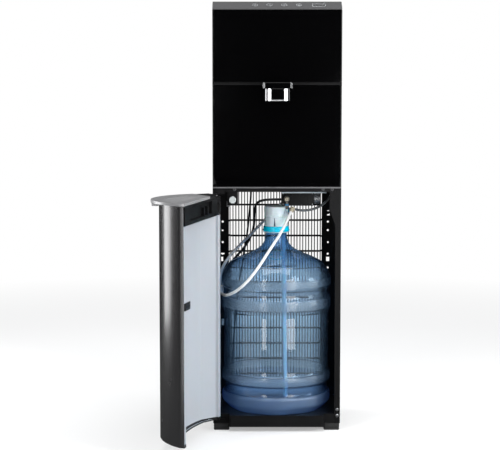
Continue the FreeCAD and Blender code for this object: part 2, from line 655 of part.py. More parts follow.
def swung(name, label, *things):
    """Turns pieces of the door about the pins to where the door stands open."""
    several = group(name, *things)
    several.Placement.Rotation = FreeCAD.Rotation(Vector(0, 0, -1), d.door_open.value)
    several.setExpression("Placement.Rotation.Angle", "Sizes.door_open * 1 deg")
    sine = f"sin({swing_text})"
    cosine = f"cos({swing_text})"
    several.setExpression("Placement.Base.x", f"{pin_x.text} - ({pin_x.text} * {cosine} - {pin_y.text} * {sine})")
    several.setExpression("Placement.Base.y", f"{pin_y.text} - ({pin_x.text} * {sine} + {pin_y.text} * {cosine})")
    return node(several, label)


door_half = d.door_width / 2
door_back = front - d.door_gap
skin_bulge_y = door_back - d.door_side


def d_plan(half, back, side_end):
    """The plan of a half-moon: a straight back, two short sides and a bow in front."""
    return [(-half, back), (-half, side_end), (half, side_end), (half, back)]


skin_outer = pad("SkinOuter", "XY_Plane", d_plan(door_half, door_back, skin_bulge_y), d.door_bottom,
                 door_top - d.door_bottom, {1: d.door_bulge})
skin_inner = pad("SkinInner", "XY_Plane",
                 d_plan(door_half - d.skin_wall, door_back + 1, skin_bulge_y), d.door_bottom - 1,
                 door_top - d.door_bottom + 2, {1: d.door_bulge - d.skin_wall})
swung("DoorSkin", "door_skin", cut("SkinShell", skin_outer, skin_inner))

# Caps: the black plates that close the door's shell above and below, with the pins' bosses.
cap_half = door_half - d.skin_wall - d.skin_play
cap_bulge = d.door_bulge - d.skin_wall - d.skin_play


def door_plate(name, low, high):
    return pad(name, "XY_Plane", d_plan(cap_half, door_back, skin_bulge_y), low, high - low, {1: cap_bulge})


def boss(name, low, high, bore_low, bore_high):
    solid = rod(name + "Rod", "z", pin_x, pin_y, low, d.boss_radius, high - low)
    bore = rod(name + "Bore", "z", pin_x, pin_y, bore_low, d.pin_radius + d.pin_play, bore_high - bore_low)
    return solid, bore


pin_room = d.pin_length + d.seam_gap * 3
top_plate = door_plate("TopPlate", door_top - d.cap_wall, door_top)
top_boss, top_bore = boss("TopBoss", door_top - pin_room - d.cap_wall, door_top,
                          door_top - pin_room, door_top + 1)
bowl_half = d.bowl_width / 2
bowl_back = door_back - d.bowl_setback
bowl_side = bowl_back - d.door_side
bowl_bow = d.bowl_bulge - d.door_side
tray_low = door_top + d.seam_gap
tray_top = tray_low + d.tray_height


def bowl_pad(name, margin, low, length):
    """The bowl's half-moon, wider all round by a margin, off the door's middle towards its free side."""
    plan = d_plan(bowl_half + margin, bowl_back + margin, bowl_side)
    plan = [(x + d.bowl_place, y) for x, y in plan]
    return pad(name, "XY_Plane", plan, low, length, {1: bowl_bow + margin})


def corner_triangle(name, reach, low, high):
    """The door's corner at the pins, cut off at 45 degrees, as far from the pins as reach says."""
    beyond = d.boss_radius * 3
    plan = [(pin_x + reach + beyond, pin_y + beyond), (pin_x - beyond, pin_y + beyond),
            (pin_x - beyond, pin_y - reach - beyond)]
    return pad(name, "XY_Plane", plan, low, high - low)


def common(name, base, tool):
    piece = doc.addObject("Part::Common", name)
    piece.Base = base
    piece.Tool = tool
    return piece


bowl_room = bowl_pad("BowlRoom", d.seam_gap * 2, door_top - d.cap_wall - 1, d.cap_wall + 2)
shell_room = pad("ShellRoom", "XY_Plane", d_plan(cap_half, door_back, skin_bulge_y), d.door_bottom,
                 tray_top - d.door_bottom, {1: cap_bulge})
corner_low = door_top - d.cap_wall / 2
corner_band = cut("CornerBand",
                  corner_triangle("CornerOuter", d.corner_cut - d.seam_gap * 2, corner_low, tray_top),
                  corner_triangle("CornerInner", d.pin_clearance, corner_low - 1, tray_top + 1))
swung("DoorTopCap", "door_top_cap",
      cut("TopCapCut", fuse("TopCapSolid", top_plate, common("TopBossTrimmed", top_boss, shell_room),
                            common("RaisedCorner", corner_band, shell_room)), top_bore, bowl_room))

liner_half = cap_half - d.liner_flange


def liner_plan(back, wall):
    """The plan of the liner's hollow: short sides, a slope on each side and a bow between the slopes. The
    wall is taken off all round."""
    side_end = door_back - d.liner_side + wall
    slope_end = side_end - d.liner_slope
    slope_x = liner_half - d.liner_slope_run
    return [(-liner_half + wall, back), (-liner_half + wall, side_end), (-slope_x, slope_end), (slope_x, slope_end),
            (liner_half - wall, side_end), (liner_half - wall, back)]


bottom_plate = door_plate("BottomPlate", d.door_bottom, d.door_bottom + d.cap_wall)
bottom_room = pad("BottomRoom", "XY_Plane", liner_plan(door_back + 1, d.liner_wall), d.door_bottom - 1,
                  d.cap_wall + 2, {2: d.liner_bulge})
bottom_boss, bottom_bore = boss("BottomBoss", d.door_bottom, d.door_bottom + pin_room + d.cap_wall,
                                d.door_bottom - 1, d.door_bottom + pin_room)
swung("DoorBottomCap", "door_bottom_cap",
      cut("BottomCapCut", fuse("BottomCapSolid", cut("BottomPlateOpen", bottom_plate, bottom_room),
                               common("BottomBossTrimmed", bottom_boss, shell_room)), bottom_bore))

# Liner: the pale moulded inner wall, bowed outwards to make room for the bottle, with a flange all round.
liner_low = d.door_bottom + d.cap_wall + d.seam_gap
block_low = door_top - d.block_height
liner_high = block_low - d.seam_gap
liner_outer = pad("LinerOuter", "XY_Plane", liner_plan(door_back, zero), liner_low, liner_high - liner_low,
                  {2: d.liner_bulge})
liner_inner = pad("LinerInner", "XY_Plane", liner_plan(door_back + 1, d.liner_wall), liner_low - 1,
                  liner_high - liner_low + 2, {2: d.liner_bulge})
flange_band = block("LinerFlange", (-cap_half, cap_half), (door_back - d.liner_wall, door_back),
                    (liner_low, liner_high))
flange_gap = block("LinerFlangeGap", (-liner_half + d.liner_wall / 2, liner_half - d.liner_wall / 2),
                   (door_back - d.liner_wall - 1, door_back + 1), (liner_low - 1, liner_high + 1))
boss_room = rod("BossRoom", "z", pin_x, pin_y, liner_low - 1, d.boss_radius + d.seam_gap,
                d.door_bottom + pin_room + d.cap_wall + d.seam_gap - liner_low + 1)
swung("DoorLiner", "door_liner",
      cut("LinerCut", fuse("LinerSolid", cut("LinerShell", liner_outer, liner_inner),
                           cut("LinerFlanges", flange_band, flange_gap)), boss_room))

# Top block: the black moulding across the top of the door's inside, with a pocket and two uprights.
block_half = liner_half
block_high = door_top - d.cap_wall - d.seam_gap
block_depth = d.bowl_setback - d.tray_wall - d.seam_gap * 2
block_solid = block("TopBlockSolid", (-block_half + d.pin_inset * 2, block_half),
                    (door_back - block_depth, door_back), (block_low, block_high))
block_pocket = block("TopBlockPocket", (-block_half + d.pocket_left, block_half - d.pocket_right),
                     (door_back - block_depth + d.block_wall, door_back + 1),
                     (block_low + d.block_wall * 3, block_high - d.block_wall))
upright_x = -block_half + d.pocket_left + d.upright_pitch
uprights = [
    block(f"Upright{i}", (upright_x + i * d.upright_pitch, upright_x + i * d.upright_pitch + d.upright_width),
          (door_back - block_depth + d.block_wall, door_back),
          (block_low + d.block_wall * 3, block_high - d.block_wall * 4))
    for i in range(2)]
swung("DoorTopBlock", "door_top_block",
      fuse("TopBlock", cut("TopBlockCut", block_solid, block_pocket), *uprights))

# Catch: the black magnetic catch on the free side of the liner's flange.
catch_low = d.door_bottom + d.catch_rise
catch = block("DoorCatchSolid", (cap_half - d.catch_width, cap_half),
              (door_back, door_back + d.catch_depth - d.seam_gap),
              (catch_low, catch_low + d.catch_height))
swung("DoorCatch", "door_catch", catch)

# Drip tray: a half-moon plate that overhangs the door, with a bowl let into the door's top, a pull lip
# below its front edge, and a slotted grille that lies in the bowl.
tray_half = d.tray_width / 2
tray_side = door_back - d.door_side
tray_plate = pad("TrayPlate", "XY_Plane", d_plan(tray_half, door_back, tray_side), tray_low, d.tray_height,
                 {1: d.tray_bulge - d.door_side})
bowl_outer = bowl_pad("BowlOuter", zero, tray_low - d.tray_bowl, d.tray_bowl + 1)
bowl_inner = bowl_pad("BowlInner", -d.tray_wall, tray_low - d.tray_bowl + d.tray_wall,
                      d.tray_bowl + d.tray_height)
seat_low = tray_top - d.grille_wall - d.grille_play
seat_room = bowl_pad("GrilleSeat", d.tray_wall, seat_low, d.grille_wall + d.grille_play + 1)
lip_front = door_back - d.tray_bulge
tray_lip = block("TrayLip", (-d.tray_lip_width / 2, d.tray_lip_width / 2),
                 (lip_front + d.grille_wall, lip_front + d.tray_lip_depth),
                 (tray_low - d.tray_lip_height, tray_low + 1))
tray_corner = corner_triangle("TrayCorner", d.corner_cut, tray_low - 1, tray_top + 1)
swung("DripTray", "drip_tray",
      cut("TrayCut", fuse("TraySolid", tray_plate, bowl_outer, tray_lip), bowl_inner, seat_room, tray_corner))

grille_plate = bowl_pad("GrillePlate", d.tray_wall - d.grille_play, seat_low + d.seam_gap, d.grille_wall)
bow_radius = (bowl_half * bowl_half + bowl_bow * bowl_bow) / (2 * bowl_bow)
bow_centre = bowl_side - bowl_bow + bow_radius
slot_count = int((bowl_half - d.slot_margin * 2).value / d.slot_pitch.value)
grille_slots = []
for i in range(-slot_count, slot_count + 1):
    aside = i * d.slot_pitch
    bow_depth = math.sqrt(bow_radius.value ** 2 - aside.value ** 2)
    middle = d.bowl_place + aside
    grille_slots.append(block(
        f"GrilleSlot{i + slot_count}", (middle - d.slot_width / 2, middle + d.slot_width / 2),
        (bow_centre - bow_depth + d.slot_margin, bowl_back - d.slot_margin), (seat_low, tray_top + 1)))
swung("DripGrille", "drip_grille", cut("GrilleCut", grille_plate, *grille_slots))

# Door switch: a black box under the shelf with a round plunger that faces the door.
switch_x = (d.switch_place - d.switch_width / 2, d.switch_place + d.switch_width / 2)
switch_front = front + d.switch_setback
switch_low = beam_bottom - d.switch_height
plunger_z = switch_low + d.switch_height * 0.42
switch_solid = block("SwitchSolid", switch_x, (switch_front, switch_front + d.switch_depth),
                     (switch_low, beam_bottom))
bore_depth = d.switch_depth * 0.7
plunger_bore = rod("PlungerBore", "y", d.switch_place, switch_front - 1, plunger_z,
                   d.plunger_radius + d.plunger_play, bore_depth + 1)
node(cut("SwitchHousing", switch_solid, plunger_bore), "switch_housing")
plunger_tip_y = front - d.plunger_tip
plunger = rod("PlungerRod", "y", d.switch_place, plunger_tip_y, plunger_z, d.plunger_radius,
              switch_front + bore_depth - d.plunger_travel - d.seam_gap - plunger_tip_y)
cross = [
    block("CrossA", (d.switch_place - d.plunger_radius * 0.6, d.switch_place + d.plunger_radius * 0.6),
          (plunger_tip_y - 1, plunger_tip_y + d.cross_wall / 2),
          (plunger_z - d.cross_wall / 2, plunger_z + d.cross_wall / 2)),
    block("CrossB", (d.switch_place - d.cross_wall / 2, d.switch_place + d.cross_wall / 2),
          (plunger_tip_y - 1, plunger_tip_y + d.cross_wall / 2),
          (plunger_z - d.plunger_radius * 0.6, plunger_z + d.plunger_radius * 0.6))]
node(cut("SwitchPlunger", plunger, *cross), "switch_plunger")

# Bottle: a blown bottle with three rings, turned as one shell of even wall.
bottle_y = rear - d.bottle_clear - d.bottle_radius
NECK_TOP = 488
bottle_scale = d.bottle_height / NECK_TOP
big = d.bottle_radius
wall = d.bottle_wall


def up(height):
    """A height on the bottle, in its own proportions."""
    return bottle_low + bottle_scale * height


OUTER = [
    (big - 22, 0), (big - 2, 20), (big - 2, 42), (big - 9, 48), (big - 9, 66), (big - 2, 72), (big - 2, 94),
    (big - 6, 98), (big - 6, 244), (big - 1, 256), (big - 1, 280), (big - 6, 286), (big - 6, 300),
    (big, 307), (big, 330), (big - 7, 345), (big - 19, 362), (big - 54, 379), (big - 90, 395),
    (big - 109, 415), (d.neck_radius, 440), (d.neck_radius, NECK_TOP),
]
outer_side = [(r, up(h)) for r, h in OUTER]
# On the flat slope of the shoulder the wall is measured across, so it takes more of the radius there.
SLOPE = (340, 420)
SLOPE_SHARE = 1.8
inner_side = []
for r, h in OUTER:
    share = SLOPE_SHARE if SLOPE[0] < h < SLOPE[1] else 1
    inner_side.append((r - wall * share, up(h) + (wall if h == 0 else zero)))
inner_side[-1] = (d.neck_radius - wall, up(OUTER[-1][1]))
bottle_profile = [(zero, up(0))] + outer_side + inner_side[::-1] + [(zero, up(0) + wall)]
bottle = turned("Bottle", bottle_profile)
place(bottle, zero, bottle_y, zero)
node(bottle, "water_bottle")

# Probe cap: the stepped plastic cap over the bottle's neck, with the hose port on its right side.
neck_room = d.neck_radius + d.seam_gap
cap_inside = neck_top + d.seam_gap
cap_bottom = neck_top - d.cap_skirt
cap_top = cap_inside + d.cap_head
cap_profile = [
    (neck_room, cap_bottom), (d.cap_radius, cap_bottom), (d.cap_radius, cap_top - d.cap_round),
    (d.cap_radius - d.cap_round, cap_top), (zero, cap_top), (zero, cap_inside), (neck_room, cap_inside),
]
cap_body = turned("CapBody", cap_profile)
place(cap_body, zero, bottle_y, zero)
port_x = d.cap_radius + d.port_reach
port_y = bottle_y - d.cap_radius * 0.55
port_z = cap_inside + d.port_radius + 1
port = rod("CapPort", "x", d.cap_radius * 0.75, port_y, port_z, d.port_radius, port_x - d.cap_radius * 0.75)
port_end = rod("CapPortEnd", "y", port_x, port_y - d.port_tip, port_z, d.port_radius, d.port_tip)
slit = block("CapSlit", (d.slit_place - d.slit_width / 2, d.slit_place + d.slit_width / 2),
             (bottle_y - d.cap_radius - 1, bottle_y - d.cap_radius + d.slit_depth),
             (cap_bottom + d.slit_rise, cap_bottom + d.slit_rise + d.slit_height))
node(cut("ProbeCap", fuse("CapWithPort", cap_body, port, port_end), slit), "probe_cap")

ring_profile = [
    (neck_room, cap_bottom - d.ring_height), (d.ring_radius, cap_bottom - d.ring_height),
    (d.ring_radius, cap_bottom - d.seam_gap), (neck_room, cap_bottom - d.seam_gap),
]
cap_ring = turned("CapRing", ring_profile)
place(cap_ring, zero, bottle_y, zero)
node(cap_ring, "cap_ring")

# Dip tube: from the cap's inside down to just above the bottle's floor. It stands off the middle and leans.
probe_low = bottle_low + d.bottle_wall + d.probe_clear
tube_long = neck_top - probe_low
tube_rod = rod("DipTubeRod", "z", zero, zero, zero, d.probe_radius, tube_long)
tube_bore = rod("DipTubeBore", "z", zero, zero, as_size(-1), d.probe_radius - d.probe_wall, tube_long - 1)
dip_tube = cut("DipTube", tube_rod, tube_bore)
dip_tube.Placement.Rotation = FreeCAD.Rotation(Vector(0, -1, 0), d.probe_lean.value)
dip_tube.setExpression("Placement.Rotation.Angle", "Sizes.probe_lean * 1 deg")
place(dip_tube, d.probe_place, bottle_y, probe_low)
node(dip_tube, "dip_tube")

# Pump: a black body under a steel bracket, with its motor on the right and a brass elbow in front.
pump_right = d.pump_left + d.pump_width
pump_back = d.pump_front + d.pump_depth
pump_top = beam_bottom - d.pump_drop
pump_bottom = pump_top - d.pump_height
pump_solid = block("PumpSolid", (d.pump_left, pump_right), (d.pump_front, pump_back), (pump_bottom, pump_top))
pump_grooves = [
    block(f"PumpGroove{i}", (d.pump_left + d.groove_first + i * d.groove_pitch,
                             d.pump_left + d.groove_first + i * d.groove_pitch + d.groove_width),
          (d.pump_front - 1, d.pump_front + d.groove_width), (pump_bottom - 1, pump_bottom + d.groove_height))
    for i in range(int(d.groove_count.value))]
node(cut("PumpBody", pump_solid, *pump_grooves), "pump_body")
motor = rod("PumpMotor", "x", pump_right, d.pump_front + d.motor_radius, pump_bottom + d.pump_height / 2,
            d.motor_radius, d.motor_length)
node(motor, "pump_motor")
bracket_low = pump_top + d.seam_gap / 2
bracket_plate = block("PumpBracketPlate", (d.pump_left, pump_right + d.motor_length + d.bracket_over),
                      (d.pump_front - d.bracket_front, pump_back), (bracket_low, bracket_low + d.pump_bracket_wall))
bracket_arms = [
    block(f"PumpBracketArm{i}", (x, x + d.arm_width), (pump_back - d.pump_bracket_wall, pump_back),
          (bracket_low, beam_top))
    for i, x in enumerate((d.pump_left, pump_right))]
node(fuse("PumpBracket", bracket_plate, *bracket_arms), "pump_bracket")
fitting_x = d.pump_left + d.fitting_place
fitting_z = pump_bottom + d.pump_height / 2
fitting = fuse(
    "PumpFittingSolid",
    rod("FittingRing", "y", fitting_x, d.pump_front - d.fitting_length, fitting_z, d.fitting_radius,
        d.fitting_length),
    rod("FittingStem", "z", fitting_x, d.pump_front - d.fitting_length / 2, pump_bottom - d.fitting_drop,
        d.port_radius - 1, d.pump_height / 2 + d.fitting_drop))
fitting_hole = rod("FittingHole", "y", fitting_x, d.pump_front - d.fitting_length - 1, fitting_z, d.fitting_bore,
                   d.fitting_bore)
node(cut("PumpFitting", fitting, fitting_hole), "pump_fitting")

# Hoses and cable, each as it lies. The probe hose leaves the cap, drops in a loop round the bottle's left
# shoulder and rises behind the cap to the pump.
PROBE_HOSE = [
    (36, -57, 531), (18, -79, 492), (-15, -106, 446), (-50, -146, 396), (-80, -150, 361), (-108, -134, 339),
    (-132, -102, 328), (-145, -66, 332), (-148, -32, 352), (-142, 6, 380), (-121, 38, 405), (-92, 52, 435),
    (-63, 54, 463), (-35, 48, 493), (-8, 38, 522), (16, 24, 546), (27, 2, 560), (27, -22, 560),
]
RETURN_HOSE = [
    (37, -26, 537), (52, -27, 532), (72, -29, 531), (94, -29, 535), (113, -24, 544), (131, -10, 558),
    (140, 10, 577), (140, 10, 597),
]
DRAIN_LINE = [
    (11.7, -42, 560), (-14, -42, 560), (-37, -32, 557), (-51, -4, 546), (-54, 28, 520), (-54, 54, 488),
    (-62, 66, 456), (-80, 72, 426), (-104, 75, 400), (-123, 76, 374), (-134, 87, 346), (-134, 117, 346),
]
SENSOR_CABLE = [
    (-62, 62, 597), (-62, 62, 566), (-66, 76, 520), (-70, 90, 478), (-75, 96, 440), (-83, 101, 398),
    (-93, 104, 344), (-101, 106, 284), (-107, 107, 222), (-111, 107, 160), (-113, 106, 100), (-113, 104, 66),
    (-113, 104, 40),
]
node(pipe("ProbeHose", PROBE_HOSE, d.hose_radius.value), "probe_hose")
node(pipe("ReturnHose", RETURN_HOSE, d.return_radius.value), "return_hose")
node(pipe("DrainLine", DRAIN_LINE, d.line_radius.value), "drain_line")
node(pipe("SensorCable", SENSOR_CABLE, d.cable_radius.value), "sensor_cable")

# Hose nut: the beige nut in front of the cap's port, in line with the probe hose's first run.
nut = doc.addObject("Part::Feature", "HoseNut")
hose_way = (Vector(*PROBE_HOSE[1]) - Vector(*PROBE_HOSE[0])).normalize()
nut_centre = Vector(port_x.value, (port_y - d.port_tip - d.nut_reach).value, (port_z + d.nut_rise).value)
nut_start = nut_centre - hose_way * (d.nut_length.value / 2)
nut.Shape = Part.makeCylinder(d.nut_radius.value, d.nut_length.value, nut_start, hose_way)
node(nut, "hose_nut")

# Condenser: one tube in flat rows joined by bends, with upright wires on both of its sides, held by clips.
condenser_y = rear + d.condenser_setback
row_z = [d.row_first.value + d.row_pitch.value * i for i in range(int(d.row_count.value))]
bend = d.row_pitch.value / 2
half_row = d.row_half.value
tube_edges = []
for i, height in enumerate(row_z):
    way = 1 if i % 2 == 0 else -1
    start = Vector(-way * half_row, condenser_y.value, height)
    end = Vector(way * half_row, condenser_y.value, height)
    tube_edges.append(Part.LineSegment(start, end).toShape())
    if i < len(row_z) - 1:
        top = Vector(end.x, end.y, end.z + 2 * bend)
        side = Vector(end.x + way * bend, end.y, end.z + bend)
        tube_edges.append(Part.Arc(end, side, top).toShape())
condenser_path = Part.Wire(tube_edges)
tube_ring = Part.Wire([Part.makeCircle(d.tube_radius.value, tube_edges[0].Vertexes[0].Point, Vector(1, 0, 0))])
condenser_tube = doc.addObject("Part::Feature", "CondenserTube")
condenser_tube.Shape = condenser_path.makePipeShell([tube_ring], True, True)
node(condenser_tube, "condenser_tube")

wires = []
wire_offset = d.tube_radius + d.wire_radius + d.wire_touch
wire_low = d.row_first - d.row_pitch * 0.3
wire_long = d.row_pitch * (d.row_count - 1) + d.row_pitch * 0.45
for i in range(int(d.wire_count.value)):
    side = -1 if i % 2 == 0 else 1
    x = d.wire_pitch * (i - (int(d.wire_count.value) - 1) / 2)
    wires.append(rod(f"Wire{i}", "z", x, condenser_y + side * wire_offset, wire_low, d.wire_radius, wire_long))
node(group("CondenserWires", *wires), "condenser_wires")

clips = []
apex = d.row_half + d.row_pitch / 2
for i, (side, row) in enumerate(((1, 0), (1, 10), (-1, 1), (-1, 9))):
    middle = d.row_first + d.row_pitch * row + d.row_pitch / 2
    low = side * apex - d.clip_width / 2
    clips.append(block(f"Clip{i}", (low, low + d.clip_width), (rear, condenser_y - d.tube_radius),
                       (middle - d.clip_height / 2, middle + d.clip_height / 2)))
node(group("CondenserClips", *clips), "condenser_clips")

# Inside the upper part: compressor on rubber mounts, hot tank, cold tank in foam with its coil, valves,
# water lines and the control board.
compressor_x = -inner + d.compressor_radius + d.compressor_inset
compressor_y = rear - d.compressor_radius - d.compressor_inset
can_low = shelf_top + d.mount_height
can_top = can_low + d.compressor_height
compressor_profile = [
    (zero, can_low), (d.compressor_radius - 10, can_low), (d.compressor_radius, can_low + 12),
    (d.compressor_radius, can_top - d.dome_height), (d.compressor_radius - 12, can_top - 8),
    (d.compressor_radius - 30, can_top), (zero, can_top),
]
compressor_can = turned("CompressorCan", compressor_profile)
place(compressor_can, compressor_x, compressor_y, zero)
seat_reach = d.compressor_radius + d.seat_reach
compressor_feet = block("CompressorFeet", (compressor_x - seat_reach, compressor_x + seat_reach),
                        (compressor_y - d.seat_half, compressor_y + d.seat_half),
                        (can_low, can_low + d.seat_wall))
node(fuse("Compressor", compressor_can, compressor_feet), "compressor")
mounts = [
    rod(f"Mount{i}", "z", compressor_x + sx * (d.compressor_radius - 2), compressor_y + sy * d.mount_spread, shelf_top,
        d.mount_radius, d.mount_height)
    for i, (sx, sy) in enumerate(((-1, -1), (1, -1), (-1, 1), (1, 1)))]
node(group("CompressorMounts", *mounts), "compressor_mounts")


def tank(name, x, y, low, radius, height, wall_size):
    outer = rod(name + "Outer", "z", x, y, low, radius, height)
    room = rod(name + "Room", "z", x, y, low + wall_size, radius - wall_size, height - wall_size * 2)
    return cut(name, outer, room)


hot_x = inner - d.hot_radius - d.hot_inset
hot_y = rear - d.hot_radius - d.hot_setback
node(tank("HotTank", hot_x, hot_y, shelf_top, d.hot_radius, d.hot_height, d.tank_wall), "hot_tank")

cold_x = zero
node(tank("ColdTank", cold_x, cold_y, cold_bottom, d.cold_radius, d.cold_height, d.tank_wall), "cold_tank")
coil_sides = 12
coil_corner = (d.cold_radius.value + d.coil_radius.value + d.wire_touch.value) / math.cos(math.pi / coil_sides)
coil_points = []
for i in range(coil_sides * int(d.coil_count.value) + 1):
    angle = 2 * math.pi * i / coil_sides
    coil_points.append((coil_corner * math.cos(angle), cold_y.value + coil_corner * math.sin(angle),
                        cold_bottom.value + d.coil_pitch.value * (1 + i / coil_sides)))
node(pipe("EvaporatorCoil", coil_points, d.coil_radius.value), "evaporator_coil")
foam_room = rod("FoamRoom", "z", cold_x, cold_y, cold_bottom, d.cold_radius + d.coil_radius * 2 + d.coil_play,
                d.cold_height)
foam_solid = block("FoamSolid", (-foam_half, foam_half), (cold_y - foam_half, cold_y + foam_half),
                   (foam_low, cold_bottom + d.cold_height + d.foam_wall))
node(cut("TankFoam", foam_solid, foam_room), "tank_insulation")

chassis_back = front - d.seam_gap + d.chassis_wall
valve_y = chassis_back
valve_z = upper_bottom - d.valve_drop
valves = [
    fuse(f"Valve{i}",
         rod(f"ValveCoil{i}", "y", (i - 1) * d.valve_pitch, valve_y, valve_z, d.valve_radius, d.valve_length),
         rod(f"ValveStem{i}", "z", (i - 1) * d.valve_pitch, valve_y + d.stem_setback, valve_z - d.stem_length / 2,
             d.pipe_radius, d.stem_length))
    for i in range(3)]
node(group("DispenseValves", *valves), "dispense_valves")

water_z = valve_z
foam_front = cold_y - foam_half
valve_end = valve_y + d.valve_length
cold_lines = [
    rod(f"ColdLine{i}", "y", (i - 1) * d.valve_pitch, valve_end, water_z, d.pipe_radius, foam_front - valve_end)
    for i in range(2)]
hot_top = (shelf_top + d.hot_height).value
hot_valve = d.valve_pitch.value
hot_back = (valve_end.value + foam_front.value) / 2
under_foam = foam_low.value - d.stand_wall.value - d.pipe_radius.value * 4
hot_line = pipe("HotLine", [
    (hot_valve, valve_end.value, water_z.value), (hot_valve, hot_back, water_z.value),
    (hot_valve, hot_back, under_foam), (hot_valve * 1.5, hot_back + hot_valve, under_foam - 14),
    (hot_x.value, hot_y.value - 36, under_foam - 14), (hot_x.value, hot_y.value, under_foam - 14),
    (hot_x.value, hot_y.value, hot_top)], d.pipe_radius.value)
feed_x = (inner - d.feed_inset).value
feed_y = RETURN_HOSE[-1][1]
feed_high = cold_bottom.value + d.cold_height.value / 3
feed_line = pipe("FeedLine", [
    (feed_x, feed_y, shelf_top.value), (feed_x, feed_y, shelf_top.value + 100),
    (feed_x - 2, feed_y + 10, cold_bottom.value - 10), (inner.value - 38, cold_y.value, feed_high),
    (foam_half.value, cold_y.value, feed_high)], d.pipe_radius.value)
node(group("WaterLines", *cold_lines, hot_line, feed_line), "water_lines")

board = block("ControlBoard", (-d.board_width / 2, d.board_width / 2), (chassis_back, chassis_back + d.board_wall),
              (panel_top - d.board_height, panel_top))
chips = [block(f"Chip{i}", (d.chip_first + i * d.chip_pitch, d.chip_first + i * d.chip_pitch + d.chip_width),
               (chassis_back + d.board_wall, chassis_back + d.board_wall + d.chip_wall),
               (panel_top - d.chip_drop - d.chip_width, panel_top - d.chip_drop))
         for i in range(int(d.chip_count.value))]
node(fuse("ControlBoardAll", board, *chips), "control_board")

# Rear fittings: the mains socket and two drain plugs, on the rear cover.
socket_back = rear + d.sheet_wall
socket_x = (d.inlet_place - d.inlet_width / 2, d.inlet_place + d.inlet_width / 2)
socket_low = shelf_top + d.inlet_rise
socket_solid = block("SocketSolid", socket_x, (socket_back, socket_back + d.inlet_depth),
                     (socket_low, socket_low + d.inlet_height))
socket_room = block("SocketRoom", (socket_x[0] + d.inlet_wall, socket_x[1] - d.inlet_wall),
                    (socket_back + d.inlet_wall, socket_back + d.inlet_depth + 1),
                    (socket_low + d.inlet_wall, socket_low + d.inlet_height - d.inlet_wall))
node(cut("PowerInlet", socket_solid, socket_room), "power_inlet")
plugs = [rod(f"DrainPlug{i}", "y", (i * 2 - 1) * d.plug_place / 2 - d.plug_shift, socket_back,
             shelf_top + d.plug_rise, d.plug_radius, d.plug_length) for i in range(2)]
node(group("DrainPlugs", *plugs), "drain_plugs")

# Screws: round heads on the right flange, on the beam and on the hinge brackets.
flange_x = half_width - d.front_flange / 2
beam_middle = (beam_bottom + beam_top) / 2
beam_inset = d.front_flange + d.screw_radius * 2
screw_places = [
    (flange_x, d.screw_low), (flange_x, d.screw_low + d.screw_pitch), (half_width - beam_inset, beam_middle),
    (half_width - beam_inset * 2, beam_middle), (-half_width + beam_inset * 2.4, beam_middle)]
screws = [rod(f"Screw{i}", "y", x, front - d.screw_head, height, d.screw_radius, d.screw_head)
          for i, (x, height) in enumerate(screw_places)]
node(group("PanelScrews", *screws), "panel_screws")

doc.recompute()

# Check every object and every sub-part before anything is written.
for thing in doc.Objects:
    if "Invalid" in thing.State or "Error" in thing.State:
        raise RuntimeError(f"{thing.Name} ({thing.Label}) failed: {thing.State}")
labels = [thing.Label for thing in NODES]
if len(set(labels)) != len(labels):
    raise RuntimeError("two sub-parts share a name")
for thing in NODES:
    if thing.Shape.isNull() or not thing.Shape.isValid() or not thing.Shape.Solids:
        raise RuntimeError(f"{thing.Label} has no valid solid")

os.makedirs("parts", exist_ok=True)
for thing in NODES:
    thing.Shape.exportStep(f"parts/{thing.Label}.step")
print(len(NODES), "sub-parts written")
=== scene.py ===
import bmesh
import bpy
import json
import math
import numpy as np
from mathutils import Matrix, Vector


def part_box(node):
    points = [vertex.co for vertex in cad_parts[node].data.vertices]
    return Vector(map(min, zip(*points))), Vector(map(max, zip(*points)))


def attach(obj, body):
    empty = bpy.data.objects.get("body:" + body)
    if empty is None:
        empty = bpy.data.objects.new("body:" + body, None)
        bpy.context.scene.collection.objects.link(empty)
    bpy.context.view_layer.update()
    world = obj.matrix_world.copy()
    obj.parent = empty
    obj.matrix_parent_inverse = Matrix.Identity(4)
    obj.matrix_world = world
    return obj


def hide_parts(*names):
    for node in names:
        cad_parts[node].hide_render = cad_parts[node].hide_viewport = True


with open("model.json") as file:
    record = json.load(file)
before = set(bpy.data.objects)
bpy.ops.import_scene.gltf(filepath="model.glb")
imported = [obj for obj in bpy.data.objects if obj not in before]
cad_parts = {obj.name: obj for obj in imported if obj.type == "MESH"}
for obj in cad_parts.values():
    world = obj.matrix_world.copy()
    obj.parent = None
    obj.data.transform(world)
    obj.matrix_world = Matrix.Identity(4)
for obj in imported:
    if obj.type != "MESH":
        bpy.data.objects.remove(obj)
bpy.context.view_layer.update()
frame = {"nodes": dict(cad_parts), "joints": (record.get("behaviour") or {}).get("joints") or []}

# ---------------------------------------------------------------- camera, room and lamps
# The cooler stands on a white studio floor in front of a white background. Softboxes in front and at the
# right light the bay, a strip behind on the left shines on the door's outside, and a large soft lamp hangs
# above. Two narrow panels in front shine in the gloss only.
CAMERA_PLACE = (-0.0649, -3.818, 0.8869)
CAMERA_TILT = math.radians(84.1)
CAMERA_LENS, CAMERA_SENSOR = 110.9, 36
# What gloss sees, from in front to behind: nothing much in front, so that the black panels stay black.
ROOM_SEEN_BY_GLOSS = [(0.0, 0.006), (0.33, 0.01), (0.5, 0.05), (0.62, 0.24), (0.74, 0.5), (0.85, 0.42),
                      (0.89, 0.2), (0.93, 0.05), (1.0, 0.03)]
ROOM_COLOUR, ROOM_LIGHT = (0.97, 0.985, 1, 1), 0.56
